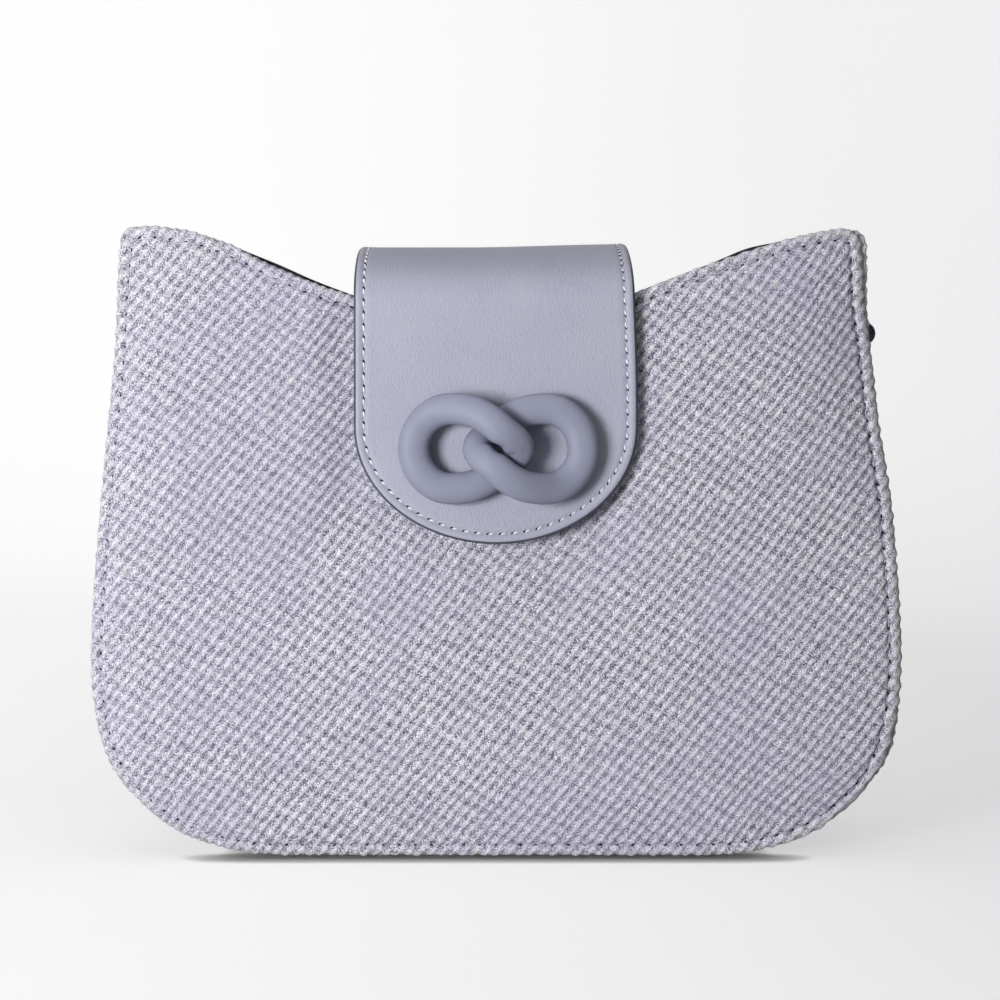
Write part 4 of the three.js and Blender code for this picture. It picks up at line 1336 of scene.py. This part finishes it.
def makeLink(name, side):
    k = links
    middle = linkMiddle()
    along = np.roll(middle, -1, 0) - np.roll(middle, 1, 0)
    step = np.linalg.norm(along[:, :2], axis=1) / 2
    heading = np.arctan2(along[:, 1], along[:, 0])
    bend = np.abs((np.roll(heading, -1) - np.roll(heading, 1) + np.pi) % (2 * np.pi) - np.pi) / (2 * step)
    along = unit(along)
    across = unit(np.cross(along, [0, 0, 1]))
    rise = np.cross(across, along)
    half = k["wide"] / 2
    inner = np.minimum(half, k["innerRound"] / bend)
    held = int(k["slimAfterTip"] / step.mean())
    inner = np.min([np.roll(inner, i) for i in range(held)], axis=0)
    inner = easedAlong(inner, k["innerEase"] / step.mean())
    away = np.linalg.norm(middle[:, :2], axis=1) + 1e9 * (middle[:, 2] < k["seat"] + k["deep"])
    inner = inner - k["eye"][0] * np.exp(-(away - away.min()) / k["eye"][1])
    turn = 2 * np.pi * np.arange(k["sides"]) / k["sides"]

    def squeeze(value):
        return np.sign(value) * np.abs(value) ** (2 / k["roundness"])

    around = squeeze(np.cos(turn))
    reach = np.where(around > 0, around * inner[:, None], around * half)[:, :, None]
    lift = squeeze(np.sin(turn))[None, :, None] * k["deep"] / 2
    rings = middle[:, None] + across[:, None] * reach + rise[:, None] * lift
    core, coreFaces = coreBalls(middle)
    groups = [(tubeFaces(k["stations"], k["sides"])[:, ::-1], 0)]
    groups += [(faces + rings.shape[0] * rings.shape[1], slot) for faces, slot in coreFaces]
    points = np.vstack([rings.reshape(-1, 3), core])
    if side > 0:
        points = points * [-1, -1, 1]
    points = points * [*k["spread"], 1] + [*k["shift"], 0]
    piece = meshFrom(name + "_moulding", toFlapFrame(points), groups, [materials["resin"]])
    skinOver(piece, k["skinCell"], k["skinEase"])
    finishPiece(piece, "flap", [name])
    print(name, "faces", len(piece.data.polygons))


makeLink("left_link", -1)
makeLink("right_link", 1)
print("links ready")


# Snap halves

snap = {"radius": 7, "edge": 0.5, "sides": 64, "drop": 14.5, "studThick": 2.0, "socketThick": 1.7,
        "gap": 0.3, "shaftRadius": 1.5}


# A turned body whose profile starts and ends near the axis, closed there by small discs
def makeTurned(name, profile, body, place):
    sides, count = snap["sides"], len(profile)
    turn = 2 * np.pi * np.arange(sides) / sides
    rows = np.array(profile, float)
    x, y = np.outer(rows[:, 0], np.cos(turn)), np.outer(rows[:, 0], np.sin(turn))
    points = np.stack([x, y, np.repeat(rows[:, 1:], sides, 1)], -1).reshape(-1, 3)
    faces = tubeFaces(count, sides, closed=False)
    low, high = len(points), len(points) + 1
    points = np.vstack([points, [[0, 0, profile[0][1]], [0, 0, profile[-1][1]]]])
    j = np.arange(sides)
    n = (j + 1) % sides
    first = np.stack([np.full(sides, low), n, j], 1)
    last = np.stack([np.full(sides, high), (count - 1) * sides + j, (count - 1) * sides + n], 1)
    groups = [(faces, 0), (first, 0), (last, 0)]
    piece = meshFrom(name + "_cap", place(points), groups, [materials["steel"]])
    finishPiece(piece, body, [name])


def snapProfile(thick, reach, well):
    r, e, shaft = snap["radius"], snap["edge"], snap["shaftRadius"]
    return [(0.3, well), (2.6, well), (3.0, well - 0.15), (3.3, 0.12), (3.6, 0.0), (r - 1.4, 0.0),
            (r - e, 0.05), (r - e * 0.3, e * 0.3), (r, e), (r, thick - 0.2), (r - 0.2, thick),
            (shaft + 0.1, thick), (shaft, thick + 0.1), (shaft, thick + reach - 0.2),
            (shaft - 0.2, thick + reach), (0.3, thick + reach)]


studSeat = -flap["thick"] - snap["gap"]
panelFace = -flap["thick"] - flap["snapStack"]


def placeStud(points):
    moved = points + [0, -snap["drop"], studSeat - snap["studThick"]]
    return toFlapFrame(moved)


def placeSocket(points):
    turned = points * [1, -1, -1] + [0, -snap["drop"], panelFace + snap["gap"] + snap["socketThick"]]
    return toFlapFrame(turned)


makeTurned("magnet_stud", snapProfile(snap["studThick"], 1.0, 0.5), "flap", placeStud)
makeTurned("magnet_socket", snapProfile(snap["socketThick"], 2.9, 0.7), "bag_body", placeSocket)
print("snap ready")


# Strap rings and their tabs

ring = {
    "drop": 34.5,
    "wire": 1.3,
    "innerWide": 18,
    "leg": 5,
    "corner": 3,
    "tabWide": 15,
    "tabLength": 26,
    "tabThick": 2.2,
    "tabRound": 0.25,
    "seamIn": 2,  # from the tab's edge to its seam
    "strapThick": 1.05,
    "out": -1.2,  # the bar's middle, out from the seam
    "seat": 5.7,
    "loopReach": {-1: 0.3, 1: 2.5},  # how far each tab's loop stands off its ring's bar
    "loopGap": 0.35,
    "loopTurn": (130, 95, 60, 25, -10, -45, -80, -112),
    # Points of the tab's back and front layers, as (outward, along)
    "backLine": [(0, -18), (0, -10), (0.35, -5.0), (0.9, -1.2)],
    "frontLine": [(0.5, -6.8), (0, -11), (0, -18)],
    "stations": 160,
    "sides": 20,
}


def ringFrame(side):
    height = bagShape["hornHeight"] - ring["drop"]
    at = int(np.argmin(np.abs(seamPoints[:, 1] - height) + 1000 * (seamPoints[:, 0] < 90)))
    part = np.interp(height, seamPoints[at - 1:at + 2, 1], seamLengths[at - 1:at + 2])
    point, out = seamAt(np.array([part]))
    point, out = point[0], out[0]

    def place(local):
        x = point[0] + local[:, 0] * out[0] - local[:, 2] * out[1]
        z = point[1] + local[:, 0] * out[1] + local[:, 2] * out[0]
        return np.stack([side * x, side * local[:, 1] + middleY, z], 1)
    return place


def makeRing(name, side, body):
    r = ring
    half, corner = r["innerWide"] / 2 + r["wire"], r["corner"]
    flank, quarter = half - corner, math.pi / 2
    rows = [[(-flank, 0), (flank, 0)], arc((flank, -corner), corner, quarter, 0, 10)[1:],
            arc((0, -r["leg"]), half, 0, -math.pi, 60),
            arc((-flank, -corner), corner, math.pi, quarter, 10)[:-1]]
    loop = evenLoop(np.vstack(rows), r["stations"])
    along = loopAlong(loop)
    turn = 2 * np.pi * np.arange(r["sides"]) / r["sides"]
    across = np.stack([np.zeros(len(loop)), along[:, 1], -along[:, 0]], 1)
    middle = np.stack([np.full(len(loop), r["out"]), loop[:, 0], loop[:, 1]], 1)
    rings = (middle[:, None] + across[:, None] * (np.cos(turn) * r["wire"])[None, :, None]
             + np.array([1, 0, 0]) * (np.sin(turn) * r["wire"])[None, :, None])
    piece = meshFrom(name + "_wire", ringFrame(side)(rings.reshape(-1, 3)),
                     [(tubeFaces(len(loop), r["sides"]), 0)], [materials["ringMetal"]])
    finishPiece(piece, body, [name])


# A leather strip folded round the ring's bar, its two layers sewn together on the gusset
def tabLine(side):
    r = ring
    half = r["strapThick"] / 2
    back, front = half - r["seat"], r["tabThick"] - half - r["seat"]
    loop, reach = r["wire"] + r["loopGap"] + half, r["loopReach"][side]
    turn = np.radians(r["loopTurn"])
    rows = [(back, -r["tabLength"])] + [(back + out, along) for out, along in r["backLine"]]
    rows += zip(r["out"] + reach * 0.45 + (loop + reach * 0.55) * np.cos(turn),
                (loop + reach * 0.5) * np.sin(turn))
    rows += [(front + out, along) for out, along in r["frontLine"]] + [(front, -r["tabLength"])]
    points = np.array(rows, float)
    pad = np.vstack([2 * points[0] - points[1], points, 2 * points[-1] - points[-2]])
    fours = zip(pad, pad[1:], pad[2:], pad[3:])
    return np.vstack([*(stretch(b, c, (c - a) / 2, (d - b) / 2, 14) for a, b, c, d in fours), pad[-2]])


def makeTab(name, side):
    r = ring
    line = tabLine(side)
    lengths = arcLengths(line)
    left = leftOf(unit(np.gradient(line, lengths, axis=0)))
    halfWide, halfThick = r["tabWide"] / 2, r["strapThick"] / 2
    flatWide, flatThick = halfWide - r["tabRound"], halfThick - r["tabRound"]
    section = [(-flatWide, -halfThick), (0, -halfThick), (flatWide, -halfThick), (halfWide, -flatThick),
               (halfWide, flatThick)]
    section += [(-w, -t) for w, t in section]
    count = len(section)
    rows, flat = [], []
    for p, n, s in zip(line, left, lengths):
        for w, t in section:
            rows.append((p[0] + n[0] * t, w, p[1] + n[1] * t))
            flat.append((w, s, t))
    i = np.arange(len(line) - 1)
    leather, paint = [], []
    for j in range(count):
        k = (j + 1) % count
        quad = np.stack([i * count + j, i * count + k, (i + 1) * count + k, (i + 1) * count + j], 1)
        (paint if j in (2, 3, 4, 7, 8, 9) else leather).append(quad)
    last = (len(line) - 1) * count
    place = ringFrame(side)
    groups = [(np.vstack(leather), 0), (np.vstack(paint), 1),
              (np.arange(count)[::-1][None], 1), (last + np.arange(count)[None], 1)]
    piece = meshFrom(name + "_strip", place(np.array(rows, float)), groups,
                     [materials["leather"], materials["edgePaint"]], {"flat": np.array(flat, float)})
    front, flank, foot = r["tabThick"] - r["seat"], halfWide - r["seamIn"], r["seamIn"] - r["tabLength"]
    seams = [((front, w, foot), (front, w, -9), 30) for w in (-flank, flank)]
    seams.append(((front, -flank, foot), (front, flank, foot), 20))
    stitch = {**whiteStitch, "Pitch": 3.0, "Length": 2.0, "Width": 0.6, "Height": 0.6}
    made = []
    for number, seam in enumerate(seams):
        local = np.linspace(*seam)
        real = place(local)
        facing = place(local + [1, 0, 0]) - real
        made.append(seamLine(f"{name}_seam{number}", real, facing, stitch, materials["whiteThread"]))
    finishPiece(piece, "bag_body", [name])
    finishPiece(joinPieces(name + "_stitches", made), "bag_body")


for sideName, sideSign in (("left", -1), ("right", 1)):
    makeRing(sideName + "_d_ring", sideSign, sideName + "_ring")
    makeTab(sideName + "_ring_tab", sideSign)
print("rings and tabs ready")


# Finishes of the pieces that stay as they are, inside the bag and the flap

keptFinish = {
    "board": ["front_stiffener", "back_stiffener", "base_board", "flap_board"],
    "steel": ["socket_washer", "stud_washer"] + [
        f"{linkSide}_link_screw_{end}" for linkSide in ("left", "right") for end in ("upper", "lower")],
}
for finish, names in keptFinish.items():
    for nodeName in names:
        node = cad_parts[nodeName]
        node.data.materials.clear()
        node.data.materials.append(materials[finish])


# Floor, light and camera

stage = {
    "halfWide": 9000,
    "front": -8000,
    "bend": 880,  # where the floor starts to turn up behind the bag
    "bendRadius": 300,
    "wallHeight": 2200,
    "glow": 0.69,  # what the camera sees on the floor over what the lamps give
    "wallGlow": 0.11,
    "paintedSideShade": -0.16,  # painted shade: the floor's glow drops from the left to the right, and less so on the wall
    "wallShare": 0.6,
    "glowSpan": (0.1, 1.15),  # over this far back the floor's glow becomes the wall's, in metres
    "sideSpan": (-0.25, 0.25),
    # painted contact shadow: the glow fades close to the bag, over this reach in metres and to this power
    "paintedContactShadowReach": 0.008,
    "paintedContactShadowPower": 4.0,
}


def makeStage():
    s = stage
    rows = [(s["front"], 0.0), (-400, 0.0), (0, 0.0), (s["bend"], 0.0)]
    rows += [*arc((s["bend"], s["bendRadius"]), s["bendRadius"], -math.pi / 2, 0, 24)[1:]]
    rows.append((s["bend"] + s["bendRadius"], s["wallHeight"]))
    points = [(x, y, z - 0.05) for y, z in rows for x in (-s["halfWide"], s["halfWide"])]
    i = np.arange(len(rows) - 1) * 2
    faces = np.stack([i, i + 1, i + 3, i + 2], 1)
    material, tree, shader = startMaterial("paper backdrop", 0.8, 0.1)
    place = objectPlace(tree)
    paper = remap(noiseAt(place, 3.0), 0.3, 0.7, 0.0, 1.0)
    x, y, _ = parted(place)
    glow = remap(y, *s["glowSpan"], s["glow"], s["glow"] + s["wallGlow"])
    # painted shade: the glow falls off towards the right
    side = remap(x, *s["sideSpan"], 0.0, s["paintedSideShade"]) * remap(y, *s["glowSpan"], 1.0, s["wallShare"])
    # painted contact shadow: ambient occlusion dims the floor's glow beside the bag
    bare = term("ShaderNodeAmbientOcclusion", {"Distance": s["paintedContactShadowReach"]}, "AO", tree, samples=8)
    rays = addNode(tree, "ShaderNodeLightPath").outputs
    seen = Term(rays["Is Camera Ray"]).calc("MAXIMUM", Term(rays["Is Glossy Ray"]))
    feed(shader, {"Base Color": mixTints(paper, tint(167, 167, 167), tint(170, 170, 170)),
                  "Emission Color": (1.0, 1.0, 1.0, 1.0),
                  "Emission Strength": (glow + side) * bare.calc("POWER", s["paintedContactShadowPower"]) * seen})
    meshFrom("backdrop", np.array(points, float), [(faces, 0)], [material])


makeStage()

light = {
    "worldStrength": 0.2,
    "lamps": {  # power, size and place; each is aimed at the middle of the bag
        "key": (10.6, 0.34, (-0.57, -0.85, 0.17)),
        "overhead": (4.2, 1.2, (0.0, -0.3, 1.25)),
    },
    "aim": (0.0, 0.0, 0.1),
}


def makeLights():
    world = bpy.data.worlds.new("studio")
    bpy.context.scene.world = world
    world.use_nodes = True
    background = world.node_tree.nodes["Background"]
    background.inputs[0].default_value = (1.0, 1.0, 1.0, 1.0)
    background.inputs[1].default_value = light["worldStrength"]
    for name, (power, size, place) in light["lamps"].items():
        lamp = bpy.data.lights.new(name, "AREA")
        lamp.shape = "SQUARE"
        lamp.size = size
        lamp.energy = power
        held = addObject(name, lamp)
        held.location = place
        aim = Matrix.Translation(light["aim"]).translation - held.location
        held.rotation_euler = aim.to_track_quat("-Z", "Y").to_euler()


makeLights()

view = {"x": 1.35, "y": -742.5, "z": 152.6, "pitch": 2.71, "lens": 78.8}


def makeCamera():
    data = bpy.data.cameras.new("camera")
    data.lens = view["lens"]
    data.sensor_width = 36
    data.clip_start = 0.01
    data.clip_end = 20
    camera = addObject("camera", data)
    camera.location = (view["x"] * mm, view["y"] * mm, view["z"] * mm)
    camera.rotation_euler = (math.radians(90 - view["pitch"]), 0, 0)
    bpy.context.scene.camera = camera


makeCamera()
bpy.context.scene.view_settings.view_transform = "Standard"
print("stage, light and camera ready")
